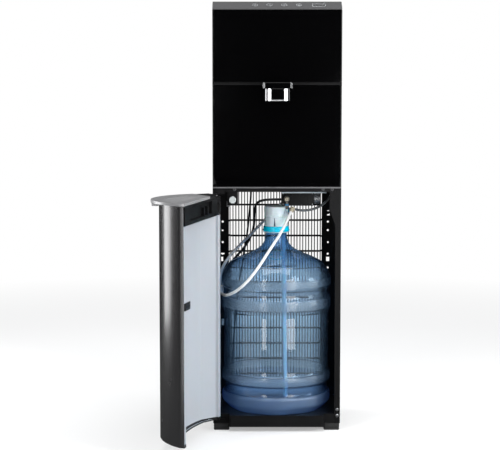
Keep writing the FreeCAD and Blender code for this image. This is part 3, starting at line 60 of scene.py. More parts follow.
# Each lamp's name, place, aim, size and power, and whether it lights matt surfaces and shines in gloss.
LAMPS = [
    ("softbox_left", (-1.05, -1.45, 0.95), (0, 0, 0.45), (0.5, 1.7), 9, True, False),
    ("softbox_right", (1.2, -1.25, 0.95), (0, 0, 0.45), (0.42, 1.7), 22, True, False),
    ("softbox_side", (1.7, -0.35, 0.6), (-0.2, -0.25, 0.3), (0.5, 1.1), 15, True, False),
    ("door_strip", (-1.607, 0.548, 0.74), (-0.25, -0.3, 0.4), (0.62, 1.5), 13.5, True, True),
    ("overhead", (0, -0.5, 2.6), (0, 0, 0.5), (2.0, 1.6), 26, True, True),
    ("gloss_panel_left", (-0.48, -1.03, 0.56), (-0.046, -0.13, 0.56), (0.17, 1.08), 3.2, False, True),
    ("gloss_panel_right", (0.55, -0.99, 0.56), (0.035, -0.13, 0.56), (0.36, 1.08), 6.0, False, True),
]
FLOOR_CORNERS = [(-6, -3, 0), (6, -3, 0), (6, 9, 0), (-6, 9, 0)]
FLOOR_COLOUR, FLOOR_LIFT, FLOOR_GLOSS, FLOOR_REACH = 0.62, 0.34, 0.05, 9.0
BACKDROP_SHARE = [(0.0, 0.0), (0.12, 0.0), (0.30, 1.0), (1.0, 1.0)]


def enter(name, data):
    """A new object in the scene for a mesh, a curve, a lamp or a camera."""
    made = bpy.data.objects.new(name, data)
    bpy.context.scene.collection.objects.link(made)
    return made


def feed(tree, socket, value):
    """Gives an input a value, or joins it to a socket or to a node's first output."""
    if isinstance(value, bpy.types.Node):
        value = value.outputs[0]
    if isinstance(value, bpy.types.NodeSocket):
        tree.links.new(value, socket)
    else:
        socket.default_value = value


def add(tree, kind, *feeds, **settings):
    """A new shader node of a kind, with its settings and what feeds its inputs."""
    made = tree.nodes.new("ShaderNode" + kind)
    for word, value in settings.items():
        setattr(made, word, value)
    for socket, value in feeds:
        feed(tree, made.inputs[socket], value)
    return made


def ramp(tree, source, stops):
    """A colour ramp over a factor, from stops of (place, grey or colour)."""
    made = add(tree, "ValToRGB", ("Fac", source))
    marks = made.color_ramp.elements
    while len(marks) < len(stops):
        marks.new(0.5)
    for mark, (spot, shade) in zip(marks, stops):
        mark.position = spot
        mark.color = (*shade, 1) if isinstance(shade, tuple) else (shade, shade, shade, 1)
    return made


def seen_rays(tree):
    """The light path's outputs, and one for what is seen by the camera, also through clear pieces."""
    ray = add(tree, "LightPath").outputs
    seen = add(tree, "Math", (0, ray["Is Camera Ray"]), (1, ray["Is Transmission Ray"]), operation="MAXIMUM")
    return ray, seen


lens = bpy.data.cameras.new("studio_camera")
lens.lens, lens.sensor_width = CAMERA_LENS, CAMERA_SENSOR
camera = enter("studio_camera", lens)
camera.location = CAMERA_PLACE
camera.rotation_euler = (CAMERA_TILT, 0, 0)
bpy.context.scene.camera = camera
bpy.context.scene.view_settings.view_transform = "Standard"

room = bpy.data.worlds.new("studio")
room.use_nodes = True
bpy.context.scene.world = room
tree = room.node_tree
tree.nodes.clear()
way = add(tree, "SeparateXYZ", (0, add(tree, "TexCoord").outputs["Generated"]))
backwards = add(tree, "Math", (0, way.outputs["Y"]), (1, 0.5), (2, 0.5), operation="MULTIPLY_ADD")
walls = add(tree, "Background", ("Color", ramp(tree, backwards, ROOM_SEEN_BY_GLOSS)))
soft = add(tree, "Background", ("Color", ROOM_COLOUR), ("Strength", ROOM_LIGHT))
white = add(tree, "Background", ("Color", (1, 1, 1, 1)))
ray, seen = seen_rays(tree)
gloss_or_soft = add(tree, "MixShader", (0, ray["Is Glossy Ray"]), (1, soft), (2, walls))
add(tree, "OutputWorld", ("Surface", add(tree, "MixShader", (0, seen), (1, gloss_or_soft), (2, white))))

for name, spot, aim, size, power, lights, shines in LAMPS:
    lamp = bpy.data.lights.new(name, "AREA")
    lamp.shape = "RECTANGLE"
    lamp.size, lamp.size_y = size
    lamp.energy = power
    box = enter(name, lamp)
    box.location = spot
    towards = np.subtract(aim, spot)
    flat = math.hypot(towards[0], towards[1])
    box.rotation_euler = (math.pi / 2 + math.atan2(towards[2], flat), 0, math.atan2(-towards[0], towards[1]))
    box.visible_camera = False
    box.visible_diffuse = box.visible_transmission = lights
    box.visible_glossy = shines

mesh = bpy.data.meshes.new("floor")
mesh.from_pydata(FLOOR_CORNERS, [], [(0, 1, 2, 3)])
enter("floor", mesh)
paper = bpy.data.materials.new("floor_paper")
paper.use_nodes = True
tree = paper.node_tree
tree.nodes.clear()
ray, seen = seen_rays(tree)
matt = add(tree, "BsdfDiffuse",
           ("Color", ramp(tree, ray["Is Glossy Ray"], [(0.0, FLOOR_COLOUR), (1.0, FLOOR_GLOSS)])))
lifted = add(tree, "Math", (0, seen), (1, FLOOR_LIFT), operation="MULTIPLY")
lift = add(tree, "Emission", ("Strength", lifted))
near_floor = add(tree, "AddShader", (0, matt), (1, lift))
backdrop = add(tree, "Emission", ("Strength", seen))
away = add(tree, "VectorMath", (0, add(tree, "TexCoord").outputs["Object"]), operation="LENGTH")
reach = add(tree, "Math", (0, away.outputs["Value"]), (1, FLOOR_REACH), operation="DIVIDE")
whole = add(tree, "MixShader", (0, ramp(tree, reach, BACKDROP_SHARE)), (1, near_floor), (2, backdrop))
add(tree, "OutputMaterial", ("Surface", whole))
mesh.materials.append(paper)

# ---------------------------------------------------------------- hoses and cable
# Silicone and rubber hoses, each pushed onto its fitting at both ends: the white one from the probe cap
# loops round the bottle's shoulder to the pump, a grey one goes up to the tanks, a black one to the side.
PROBE_HOSE = [
    (0.036, -0.057, 0.531), (0.018, -0.079, 0.492), (-0.015, -0.106, 0.446), (-0.050, -0.146, 0.396),
    (-0.080, -0.150, 0.361), (-0.108, -0.134, 0.339), (-0.127, -0.100, 0.329), (-0.1375, -0.062, 0.333),
    (-0.1405, -0.028, 0.346), (-0.1385, 0.010, 0.376), (-0.121, 0.038, 0.405), (-0.092, 0.052, 0.435),
    (-0.063, 0.054, 0.463), (-0.035, 0.048, 0.493), (-0.008, 0.038, 0.522), (0.016, 0.024, 0.546),
    (0.027, 0.002, 0.560), (0.027, -0.022, 0.560),
]
RETURN_HOSE = [
    (0.037, -0.026, 0.537), (0.052, -0.027, 0.532), (0.072, -0.029, 0.531), (0.094, -0.029, 0.535),
    (0.113, -0.024, 0.544), (0.131, -0.010, 0.558), (0.140, 0.010, 0.577), (0.140, 0.010, 0.597),
]
DRAIN_LINE = [
    (0.0117, -0.042, 0.560), (-0.014, -0.042, 0.560), (-0.037, -0.032, 0.557), (-0.051, -0.004, 0.546),
    (-0.054, 0.028, 0.520), (-0.054, 0.054, 0.488), (-0.062, 0.066, 0.456), (-0.080, 0.072, 0.426),
    (-0.104, 0.075, 0.400), (-0.123, 0.076, 0.374), (-0.134, 0.087, 0.346), (-0.134, 0.117, 0.346),
]
SENSOR_CABLE = [
    (-0.062, 0.062, 0.597), (-0.062, 0.062, 0.566), (-0.066, 0.076, 0.520), (-0.070, 0.090, 0.478),
    (-0.075, 0.096, 0.440), (-0.083, 0.101, 0.398), (-0.093, 0.104, 0.344), (-0.101, 0.106, 0.284),
    (-0.107, 0.107, 0.222), (-0.111, 0.107, 0.160), (-0.113, 0.106, 0.100), (-0.113, 0.104, 0.066),
    (-0.113, 0.104, 0.040),
]


def finish(name, colour, roughness, **sockets):
    """A new material with one Principled shader: its colour, roughness and any other sockets by name."""
    made = bpy.data.materials.new(name)
    made.use_nodes = True
    shader = made.node_tree.nodes["Principled BSDF"]
    shader.inputs["Base Color"].default_value = (*colour, 1)
    shader.inputs["Roughness"].default_value = roughness
    for word, value in sockets.items():
        shader.inputs[word.replace("_", " ").title().replace("Ior", "IOR")].default_value = value
    return made


def grain(made, scale, detail=2, stretch=(1, 1, 1), spin=0, kind="POINT"):
    """A noise over the piece's own coordinates, stretched along its axes."""
    tree = made.node_tree
    own = add(tree, "TexCoord").outputs["Object"]
    laid = add(tree, "Mapping", ("Vector", own), ("Scale", stretch), ("Rotation", (0, 0, spin)),
               vector_type=kind)
    return add(tree, "TexNoise", ("Vector", laid), ("Scale", scale), ("Detail", detail))


def bumped(made, height, strength, distance=0.0002):
    """Turns a height into a bump on the material's shader."""
    tree = made.node_tree
    bump = add(tree, "Bump", ("Strength", strength), ("Distance", distance), ("Height", height))
    feed(tree, tree.nodes["Principled BSDF"].inputs["Normal"], bump)


def varied(made, source, socket, low, high):
    """Lets a noise drive one socket of the shader between two values, or two colours."""
    tree = made.node_tree
    feed(tree, tree.nodes["Principled BSDF"].inputs[socket], ramp(tree, source, [(0.3, low), (0.7, high)]))


def uneven(made, scale, low, high, detail=3, stretch=(1, 1, 1)):
    """Lets a noise drive the roughness between two values."""
    varied(made, grain(made, scale, detail, stretch), "Roughness", low, high)
    return made


def silicone(name, colour, roughness, clear):
    """Rubber or silicone: a soft skin with faint dust and a fine grain, milky where it is clear."""
    made = finish(name, colour, roughness, specular_ior_level=0.5, subsurface_weight=clear,
                  subsurface_radius=(0.004, 0.004, 0.004), subsurface_scale=0.6)
    varied(made, grain(made, 90, 3), "Base Color", tuple(0.86 * c for c in colour), colour)
    bumped(made, grain(made, 500, 2), 0.12)
    return made


hose_white = silicone("milky_silicone", (0.93, 0.94, 0.95), 0.28, 0.25)
hose_grey = silicone("grey_silicone", (0.34, 0.36, 0.38), 0.3, 0.15)
hose_black = silicone("black_rubber", (0.018, 0.018, 0.019), 0.42, 0)


def hose(name, node, route, radius, material):
    """A round hose whose line is a NURBS spline with the route's points as its control points."""
    curve = bpy.data.curves.new(name, "CURVE")
    curve.dimensions = "3D"
    curve.resolution_u = 10
    curve.bevel_depth = radius
    curve.bevel_resolution = 6
    curve.use_fill_caps = True
    spline = curve.splines.new("NURBS")
    spline.points.add(len(route) - 1)
    spline.points.foreach_set("co", np.c_[route, np.ones(len(route))].ravel())
    spline.order_u = 3
    spline.use_endpoint_u = True
    curve.materials.append(material)
    piece = enter(name, curve)
    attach(piece, "root")
    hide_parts(node)


hose("white_probe_hose", "probe_hose", PROBE_HOSE, 0.0035, hose_white)
hose("grey_return_hose", "return_hose", RETURN_HOSE, 0.003, hose_grey)
hose("black_drain_line", "drain_line", DRAIN_LINE, 0.003, hose_black)
hose("black_sensor_cable", "sensor_cable", SENSOR_CABLE, 0.0024, hose_black)

# ---------------------------------------------------------------- feet and base tray
# Four hard rubber feet are pressed into the corners of a black moulded tray, which carries the bottle. The
# feet have a waist and a chamfered sole; the tray has a rounded nose that stands out of the door opening.
STANDING = {
    "up": ((1, 0, 0), (0, 1, 0), (0, 0, 1)),
    "front": ((1, 0, 0), (0, 0, 1), (0, -1, 0)),
    "back": ((-1, 0, 0), (0, 0, 1), (0, 1, 0)),
    "right": ((0, 1, 0), (0, 0, 1), (1, 0, 0)),
}


def box_of(node):
    """A CAD node's box: its low corner, high corner, middle and size."""
    low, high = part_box(node)
    return low, high, (low + high) / 2, high - low


def grid_faces(rows, columns, wrap_rows=False, wrap_columns=False):
    """Quads between neighbours of a grid of points, row by row; a wrapped side meets its start again."""
    r = np.arange(rows if wrap_rows else rows - 1)[:, None]
    c = np.arange(columns if wrap_columns else columns - 1)[None, :]
    r2, c2 = (r + 1) % rows, (c + 1) % columns
    quads = np.stack([r * columns + c, r * columns + c2, r2 * columns + c2, r2 * columns + c], axis=-1)
    return quads.reshape(-1, 4).tolist()


def moulding(half_x, half_y, radius, rows, steps=6):
    """A rounded rectangle carried through rows of (inset, height). A corner's arc keeps its centre while its
    radius shrinks by the inset, and past that radius the centre moves in. The two end rows are closed."""
    inset, height = np.array(rows, float).T
    turn = np.radians(np.arange(4)[:, None] * 90 + np.linspace(0, 90, steps + 1)[None, :])
    signs = np.array([(1, 1), (-1, 1), (-1, -1), (1, -1)], float)
    past = np.maximum(inset - radius, 0)[:, None]
    corners = signs[None] * (np.array([half_x, half_y]) - radius - past)[:, None, :]
    bend = np.maximum(radius - inset, 1e-5)[:, None, None, None]
    arc = bend * np.stack([np.cos(turn), np.sin(turn)], axis=-1)[None]
    flat = (corners[:, :, None, :] + arc).reshape(len(rows), -1, 2)
    around = flat.shape[1]
    points = np.dstack([flat, np.broadcast_to(height[:, None], flat.shape[:2])])
    last = (len(rows) - 1) * around
    caps = [list(range(around))[::-1], list(range(last, last + around))]
    return points.reshape(-1, 3), grid_faces(len(rows), around, wrap_columns=True) + caps


def rounded_rows(low, high, edge, steps=4):
    """Rows for a moulding with a quarter-round edge below and above: the inset is the edge's radius less its
    cosine part and the height follows the sine."""
    angle = np.linspace(0, math.pi / 2, steps + 1)
    inset, rise = edge * (1 - np.cos(angle)), edge * (1 - np.sin(angle))
    return list(zip(inset[::-1], low + rise[::-1])) + list(zip(inset, high - rise))


def stand(part, at, way="up"):
    """Turns a part's own three axes to the given ones and moves it to its place."""
    axes = np.array(STANDING[way] if isinstance(way, str) else way, float)
    return part[0] @ axes + np.array(at, float), part[1]


def brick(low, high):
    """A box between two corners."""
    low, high = np.array(low, float), np.array(high, float)
    pick = np.array([(0, 0, 0), (1, 0, 0), (1, 1, 0), (0, 1, 0), (0, 0, 1), (1, 0, 1), (1, 1, 1), (0, 1, 1)])
    faces = [[0, 3, 2, 1], [4, 5, 6, 7], [0, 1, 5, 4], [1, 2, 6, 5], [2, 3, 7, 6], [3, 0, 4, 7]]
    return low + pick * (high - low), faces


def piece_of(name, mesh, material, body, stands_for, edge, crease=32):
    """A piece from a mesh: its doubles are merged and its faces turned outwards. Its edges are rounded, or
    else what bends by less than the crease is smoothed. It takes its material, is put on its body and hides
    the CAD nodes it stands for."""
    work = bmesh.new()
    work.from_mesh(mesh)
    bmesh.ops.remove_doubles(work, verts=work.verts, dist=1e-6)
    bmesh.ops.dissolve_degenerate(work, edges=work.edges, dist=1e-7)
    bmesh.ops.recalc_face_normals(work, faces=work.faces)
    work.to_mesh(mesh)
    work.free()
    mesh.shade_smooth()
    mesh.set_sharp_from_angle(angle=math.radians(180 if edge else crease))
    mesh.materials.append(material)
    piece = enter(name, mesh)
    if edge:
        bevel = piece.modifiers.new("edges", "BEVEL")
        bevel.width, bevel.segments = edge, 3
        bevel.limit_method, bevel.angle_limit = "ANGLE", math.radians(35)
        bevel.use_clamp_overlap = True
        piece.modifiers.new("flats", "WEIGHTED_NORMAL").keep_sharp = False
    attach(piece, body)
    if stands_for:
        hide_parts(*stands_for)


def make(name, parts, material, body="root", stands_for=(), edge=0.0, crease=32):
    """One piece from several parts, each a pair of points and faces."""
    points, faces, count = [], [], 0
    for part_points, part_faces in parts:
        points.append(part_points)
        faces += [[i + count for i in face] for face in part_faces]
        count += len(part_points)
    mesh = bpy.data.meshes.new(name)
    mesh.from_pydata(np.concatenate(points).tolist(), [], faces)
    piece_of(name, mesh, material, body, stands_for, edge, crease)


def eased(node, name, material, body="root", edge=0.0005, flat=0.6):
    """A copy of a CAD node's mesh with its doubles merged, its flat faces joined and its edges rounded."""
    mesh = frame["nodes"][node].data.copy()
    mesh.name = name
    mesh.materials.clear()
    work = bmesh.new()
    work.from_mesh(mesh)
    bmesh.ops.remove_doubles(work, verts=work.verts, dist=2e-6)
    bmesh.ops.dissolve_limit(work, angle_limit=math.radians(flat), verts=work.verts, edges=work.edges)
    work.to_mesh(mesh)
    work.free()
    piece_of(name, mesh, material, body, [node], edge)


def plastic(name, colour, roughness, fine=700, depth=0.25, **sockets):
    """Moulded plastic with a fine spark texture and slightly uneven gloss."""
    made = finish(name, colour, roughness, **sockets)
    uneven(made, 22, roughness * 0.9, min(1, roughness * 1.18))
    bumped(made, grain(made, fine, 2), depth, 0.0001)
    return made


black_plastic = plastic("black_plastic", (0.006, 0.006, 0.0065), 0.40, specular_ior_level=0.25)
rubber = plastic("foot_rubber", (0.022, 0.022, 0.022), 0.75, fine=400, depth=0.5)
FOOT_HALF_X, FOOT_HALF_Y, FOOT_CORNER = 0.019, 0.023, 0.004
FOOT_ROWS = [(0.0015, 0), (0, 0.0015), (0, 0.0045), (0.0012, 0.0052), (0.0012, 0.0064), (0, 0.0072),
             (0, 0.017)]
low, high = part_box("feet")
foot = moulding(FOOT_HALF_X, FOOT_HALF_Y, FOOT_CORNER, FOOT_ROWS)
make("corner_feet", [stand(foot, (x, y, 0)) for x in (low.x + FOOT_HALF_X, high.x - FOOT_HALF_X)
                     for y in (low.y + FOOT_HALF_Y, high.y - FOOT_HALF_Y)],
     rubber, stands_for=["feet"])
eased("base_tray", "moulded_base_tray", black_plastic, edge=0.0016)

# ---------------------------------------------------------------- side panels, beam and shelf
# Folded sheet steel, powder coated satin black: two side panels with punched rear flanges, a channel
# across the door opening and the shelf that carries the cooling parts. They are riveted to each other.
powder_coat = finish("powder_coat", (0.004, 0.004, 0.0045), 0.46, specular_ior_level=0.22)
uneven(powder_coat, 30, 0.42, 0.52)
bumped(powder_coat, grain(powder_coat, 1100, 2), 0.35, 0.0001)
eased("left_side_panel", "left_side_sheet", powder_coat, edge=0.0004)
eased("right_side_panel", "right_side_sheet", powder_coat, edge=0.0004)
eased("cross_beam", "front_cross_beam", powder_coat, edge=0.0005)
eased("mid_shelf", "steel_mid_shelf", powder_coat, edge=0.0004)

# ---------------------------------------------------------------- flange clips
# Two white nylon clips are snapped into the left rear flange's holes, beside the bottle. Each is a small
# rounded block with a groove across its middle for a cable.
CLIP_X, CLIP_HEIGHTS, CLIP_HALF = -0.134, (0.2286, 0.3143), (0.0048, 0.0084)
SADDLE_HALF, SADDLE_RISE = (0.0034, 0.0022), 0.0045
flange_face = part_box("left_side_panel")[1].y - 0.001
nylon_white = plastic("white_nylon", (0.86, 0.82, 0.80), 0.38, fine=500, depth=0.12)
block = moulding(*CLIP_HALF, 0.0024, rounded_rows(-0.0004, 0.0046, 0.0014))
saddle = moulding(*SADDLE_HALF, 0.0012, rounded_rows(0.003, 0.0058, 0.0009, 3), 4)
make("flange_cable_clips", [stand(part, (CLIP_X, flange_face, z + rise), "front") for z in CLIP_HEIGHTS
                            for part, rise in ((block, 0), (saddle, SADDLE_RISE), (saddle, -SADDLE_RISE))],
     nylon_white)

# ---------------------------------------------------------------- condenser
# A bent steel tube in flat rows with thin wires welded on both sides, painted black. It hangs on four
# black clips that are pushed into the side panels' rear flanges.
condenser_paint = plastic("condenser_paint", (0.007, 0.007, 0.008), 0.38, fine=500, depth=0.3,
                          specular_ior_level=0.35)
eased("condenser_tube", "condenser_serpentine", condenser_paint, edge=0, flat=0.01)
eased("condenser_wires", "condenser_fin_wires", condenser_paint, edge=0, flat=0.01)
eased("condenser_clips", "condenser_hangers", black_plastic, edge=0.0008)

# ---------------------------------------------------------------- bottle
# A blown bottle of clear blue polycarbonate with three raised rings, a waist and a lobed foot. Its neck
# stands up into the probe cap, and its own weight holds it on the base tray.
BOTTLE_RADIUS, BOTTLE_WALL, BOTTLE_STEPS, BOTTLE_TALL = 0.136, 0.0016, 128, 0.49
BOTTLE_SIDE = [
    (0.0000, 0.010), (0.0692, 0.008), (0.0966, 0.0005), (0.1143, 0.0000), (0.1335, 0.019), (0.1340, 0.030),
    (0.1340, 0.042), (0.1275, 0.047), (0.1265, 0.057), (0.1275, 0.067), (0.1340, 0.072), (0.1352, 0.083),
    (0.1340, 0.094), (0.1302, 0.098), (0.1298, 0.120), (0.1298, 0.170), (0.1298, 0.225), (0.1302, 0.244),
    (0.1350, 0.252), (0.1358, 0.268), (0.1350, 0.281), (0.1302, 0.287), (0.1302, 0.299), (0.1355, 0.306),
    (0.1360, 0.318), (0.1355, 0.330), (0.1300, 0.343), (0.1172, 0.362), (0.0986, 0.372), (0.0829, 0.379),
    (0.0653, 0.386), (0.0476, 0.395), (0.0359, 0.404), (0.0290, 0.415), (0.0262, 0.428), (0.0258, 0.442),
    (0.0258, 0.452), (0.0262, 0.453), (0.0262, 0.456), (0.0258, 0.457), (0.0258, 0.488),
]
# The foot's lobes: near the floor the radius swells and draws in eight times round the bottle.
LOBES, LOBE_DEPTH, LOBE_HEIGHT, LOBE_START = 8, 0.0022, 0.045, 0.1
# The blue's colour by height, seen face on and edge on, and how frosted it is.
# The darker band at the waist, in both blues, is painted shade: the recess looks dark where the black base
# shows through it.
BLUE_FACE_ON_AND_WAIST_SHADE = [
    (0.0, (0.40, 0.62, 0.90)), (0.040, (0.42, 0.60, 0.84)), (0.047, (0.34, 0.50, 0.70)),
    (0.068, (0.34, 0.50, 0.70)), (0.074, (0.54, 0.67, 0.80)), (0.094, (0.54, 0.67, 0.80)),
    (0.098, (0.62, 0.79, 0.93)), (0.248, (0.62, 0.79, 0.93)), (0.253, (0.54, 0.66, 0.78)),
    (0.350, (0.52, 0.68, 0.82)), (0.385, (0.36, 0.56, 0.78)), (0.460, (0.22, 0.42, 0.64)),
]
BLUE_EDGE_ON_AND_WAIST_SHADE = [
    (0.0, (0.004, 0.02, 0.20)), (0.043, (0.006, 0.04, 0.24)), (0.050, (0.02, 0.06, 0.14)),
    (0.074, (0.03, 0.08, 0.16)), (0.300, (0.03, 0.08, 0.17)), (0.350, (0.03, 0.10, 0.24)),
    (0.400, (0.05, 0.17, 0.36)),
]
FROST = [
    (0.0, 0.42), (0.043, 0.42), (0.047, 0.03), (0.072, 0.03), (0.076, 0.24), (0.090, 0.24), (0.096, 0.03),
    (0.255, 0.03), (0.259, 0.24), (0.277, 0.24), (0.283, 0.03), (0.309, 0.03), (0.313, 0.24),
    (0.326, 0.24), (0.332, 0.03),
]
EDGE_SHARE, BLUE_SHADOW = [(0.12, 0.0), (0.80, 1.0)], (0.56, 0.68, 0.80, 1)


def softened(points, reach, steps=5):
    """Eases each inner corner of a line: a quadratic curve from the point one reach before the corner to the
    one after it, with the corner as its control point, for all corners at once."""
    line = np.asarray(points, float)
    back, ahead = line[:-2] - line[1:-1], line[2:] - line[1:-1]
    back_long = np.linalg.norm(back, axis=1, keepdims=True)
    ahead_long = np.linalg.norm(ahead, axis=1, keepdims=True)
    cut = np.minimum(reach, 0.48 * np.minimum(back_long, ahead_long))
    start, end = line[1:-1] + back / back_long * cut, line[1:-1] + ahead / ahead_long * cut
    t = np.linspace(0, 1, steps)[None, :, None]
    bends = (1 - t) ** 2 * start[:, None] + 2 * t * (1 - t) * line[1:-1][:, None] + t ** 2 * end[:, None]
    return np.concatenate([line[:1], bends.reshape(-1, line.shape[1]), line[-1:]])


def lathe(profile, steps=64, closed=False):
    """A profile of (radius, height) turned about the local z axis: x is the radius times the angle's cosine,
    y the radius times its sine. A closed profile meets its own start, for a ring."""
    profile = np.asarray(profile, float)
    angle = np.linspace(0, 2 * math.pi, steps, endpoint=False)
    radius = profile[:, :1]
    height = np.broadcast_to(profile[:, 1:], (len(profile), steps))
    points = np.stack([radius * np.cos(angle), radius * np.sin(angle), height], axis=-1)
    return points.reshape(-1, 3), grid_faces(len(profile), steps, wrap_rows=closed, wrap_columns=True)


def inward(line, wall):
    """The line moved to its left by a wall's thickness, square to its own direction."""
    along = np.gradient(line, axis=0)
    along /= np.linalg.norm(along, axis=1, keepdims=True)
    return line + wall * np.stack([-along[:, 1], along[:, 0]], axis=1)


low, high, mid, size = box_of("water_bottle")
bottle_low, bottle_axis = low.z, (mid.x, mid.y)
outside = softened(BOTTLE_SIDE, 0.0055, 6)
outside = outside[np.concatenate([[True], np.linalg.norm(np.diff(outside, axis=0), axis=1) > 1e-5])]
inside = inward(outside, BOTTLE_WALL)
inside[0, 0] = 0
inside[-1] = (outside[-1, 0] - BOTTLE_WALL, outside[-1, 1])
shell = lathe(np.concatenate([outside, inside[::-1]]), BOTTLE_STEPS)
points = shell[0]
turn, wide = np.arctan2(points[:, 1], points[:, 0]), np.hypot(points[:, 0], points[:, 1])
fade = np.clip(1 - points[:, 2] / LOBE_HEIGHT, 0, 1) * np.clip(wide / LOBE_START, 0, 1)
points[:, :2] *= (1 - LOBE_DEPTH / BOTTLE_RADIUS * fade * (1 - np.cos(LOBES * turn)))[:, None]

polycarbonate = finish("blue_polycarbonate", (0.60, 0.74, 0.87), 0.03, transmission_weight=0.96, ior=1.5,
                       specular_ior_level=0.5)
tree = polycarbonate.node_tree
shader = tree.nodes["Principled BSDF"]
own = add(tree, "SeparateXYZ", (0, add(tree, "TexCoord").outputs["Object"]))
rise = add(tree, "MapRange", ("Value", own.outputs["Z"]), ("From Min", bottle_low),
           ("From Max", bottle_low + BOTTLE_TALL))
# Both ramps carry the bottle's tint and, at the waist, a painted shade band.
face_on_and_waist_shade, edge_on_and_waist_shade, frost = (ramp(tree, rise, [(z / BOTTLE_TALL, shade) for z, shade in stops])
                           for stops in (BLUE_FACE_ON_AND_WAIST_SHADE, BLUE_EDGE_ON_AND_WAIST_SHADE, FROST))
slant = add(tree, "LayerWeight", ("Blend", 0.35))
blue = add(tree, "Mix", ("Factor", ramp(tree, slant.outputs["Facing"], EDGE_SHARE)), (6, face_on_and_waist_shade),
           (7, edge_on_and_waist_shade), data_type="RGBA")
feed(tree, shader.inputs["Base Color"], blue.outputs[2])
feed(tree, shader.inputs["Roughness"], frost)
bumped(polycarbonate, grain(polycarbonate, 18, 2, (1, 1, 0.35)), 0.03, 0.002)
lamp_through = add(tree, "BsdfTransparent", ("Color", BLUE_SHADOW))
either = add(tree, "MixShader", (0, add(tree, "LightPath").outputs["Is Shadow Ray"]), (1, shader),
             (2, lamp_through))
feed(tree, tree.nodes["Material Output"].inputs["Surface"], either)
make("blown_water_bottle", [stand(shell, (*bottle_axis, bottle_low))], polycarbonate,
     stands_for=["water_bottle"], crease=60)

# ---------------------------------------------------------------- probe cap, ring and dip tube
# The probe cap is pushed over the neck: satin pale blue plastic with a step, a locking slit and a port on
# its right. Below it sits the bottle's cyan ring, and a milky tube hangs from it down to the bottle's floor.
CAP_RADIUS, CAP_NARROW, CAP_BORE, CAP_ROOF = 0.030, 0.0292, 0.0263, 0.0135
PORT_RADIUS, PORT_BEAD, PORT_X, PORT_Y, PORT_RISE = 0.0045, 0.0052, 0.0382, -0.0395, 0.0411
cap_plastic = plastic("pale_cap_plastic", (0.80, 0.92, 0.98), 0.33, fine=300, depth=0.08,
                      subsurface_weight=0.2, subsurface_scale=0.01)
low, high, mid, size = box_of("probe_cap")
tall = size.z
CAP_SIDE = [
    (CAP_BORE, 0), (CAP_RADIUS, 0), (CAP_RADIUS, 0.0035), (CAP_NARROW, 0.0042), (CAP_NARROW, 0.0222),
    (CAP_RADIUS, 0.0230), (CAP_RADIUS, 0.0255), (CAP_NARROW, 0.0262), (CAP_NARROW, 0.0330), (0.0298, 0.0336),
    (0.0298, tall - 0.0025), (0.0285, tall - 0.0005), (0.0260, tall), (0.016, tall), (0.0152, tall - 0.0012),
    (0, tall - 0.0012),
]
cap_shell = np.concatenate([softened(CAP_SIDE, 0.0016, 4),
                            [(0, tall - CAP_ROOF), (CAP_BORE, tall - CAP_ROOF), (CAP_BORE, 0)]])
cap_at, port_z = (*bottle_axis, low.z), low.z + PORT_RISE
PORT_SIDE = [(0, 0), (PORT_RADIUS, 0), (PORT_RADIUS, 0.0135), (PORT_BEAD, 0.0137), (PORT_BEAD, 0.0155),
             (0, 0.0157)]
ELBOW_SIDE = [(0, -0.0047), (PORT_RADIUS, -0.0047), (PORT_RADIUS, 0.004), (0.0040, 0.006), (0, 0.006)]
port, elbow = lathe(softened(PORT_SIDE, 0.0006), 32), lathe(softened(ELBOW_SIDE, 0.0008), 32)
make("stepped_probe_cap",
     [stand(lathe(cap_shell, 72), cap_at), stand(port, (0.0235, PORT_Y, port_z), "right"),
      stand(elbow, (PORT_X, PORT_Y, port_z), "front")],
     cap_plastic, stands_for=["probe_cap"], crease=40)

# The dark notch: a strip of the cap's own curve that narrows upwards. Rows of height, half width, depth.
NOTCH_MIDDLE, NOTCH_FACE = -0.0045, 0.0294
NOTCH_ROWS = [(0.0010, 0.0021, -0.0007), (0.0215, 0.0006, -0.0007), (0.0215, 0.0006, 0.001),
              (0.0010, 0.0021, 0.001)]
# The slit is not cut: the shade in its gap and the blue neck behind it are painted as this dark blue strip on
# the cap.
slit_shade_blue = plastic("dark_blue_slit_shade", (0.012, 0.06, 0.15), 0.4)
height, half_wide, deep = np.array(NOTCH_ROWS).T[..., None]
across = NOTCH_MIDDLE + half_wide * np.linspace(-1, 1, 5)
strip = np.stack([across, deep - np.sqrt(NOTCH_FACE ** 2 - across ** 2), height + 0 * across], axis=-1)
ends = [[0, 5, 10, 15], [19, 14, 9, 4]]
make("cap_slit", [stand((strip.reshape(-1, 3), grid_faces(4, 5, wrap_rows=True) + ends), cap_at)], slit_shade_blue,
     crease=50)

RING_WALL, LIP = 0.0335, 0.0018
low, high, mid, size = box_of("cap_ring")
RING_SIDE = [
    (CAP_BORE, 0), (RING_WALL - 0.002, 0), (RING_WALL, 0.002), (RING_WALL - 0.0003, 0.0045),
    (RING_WALL - 0.0014, 0.005), (RING_WALL - 0.0016, size.z - 0.0025), (RING_WALL - 0.0026, size.z),
    (CAP_BORE, size.z), (CAP_BORE, 0),
]
ring_cyan = plastic("cyan_ring_plastic", (0.0, 0.70, 1.0), 0.22, fine=250, depth=0.05)
ring = lathe(softened(RING_SIDE, 0.0006, 4)[:-1], 72, closed=True)
make("cyan_cap_ring", [stand(ring, (*bottle_axis, low.z))], ring_cyan, stands_for=["cap_ring"])
lip = lathe([(0.0268, -LIP), (0.0318, -LIP), (0.0324, -LIP / 2), (0.0318, -0.0002), (0.0268, -0.0002)], 72,
            closed=True)
make("neck_lip", [stand(lip, (*bottle_axis, low.z))], cap_plastic, crease=40)

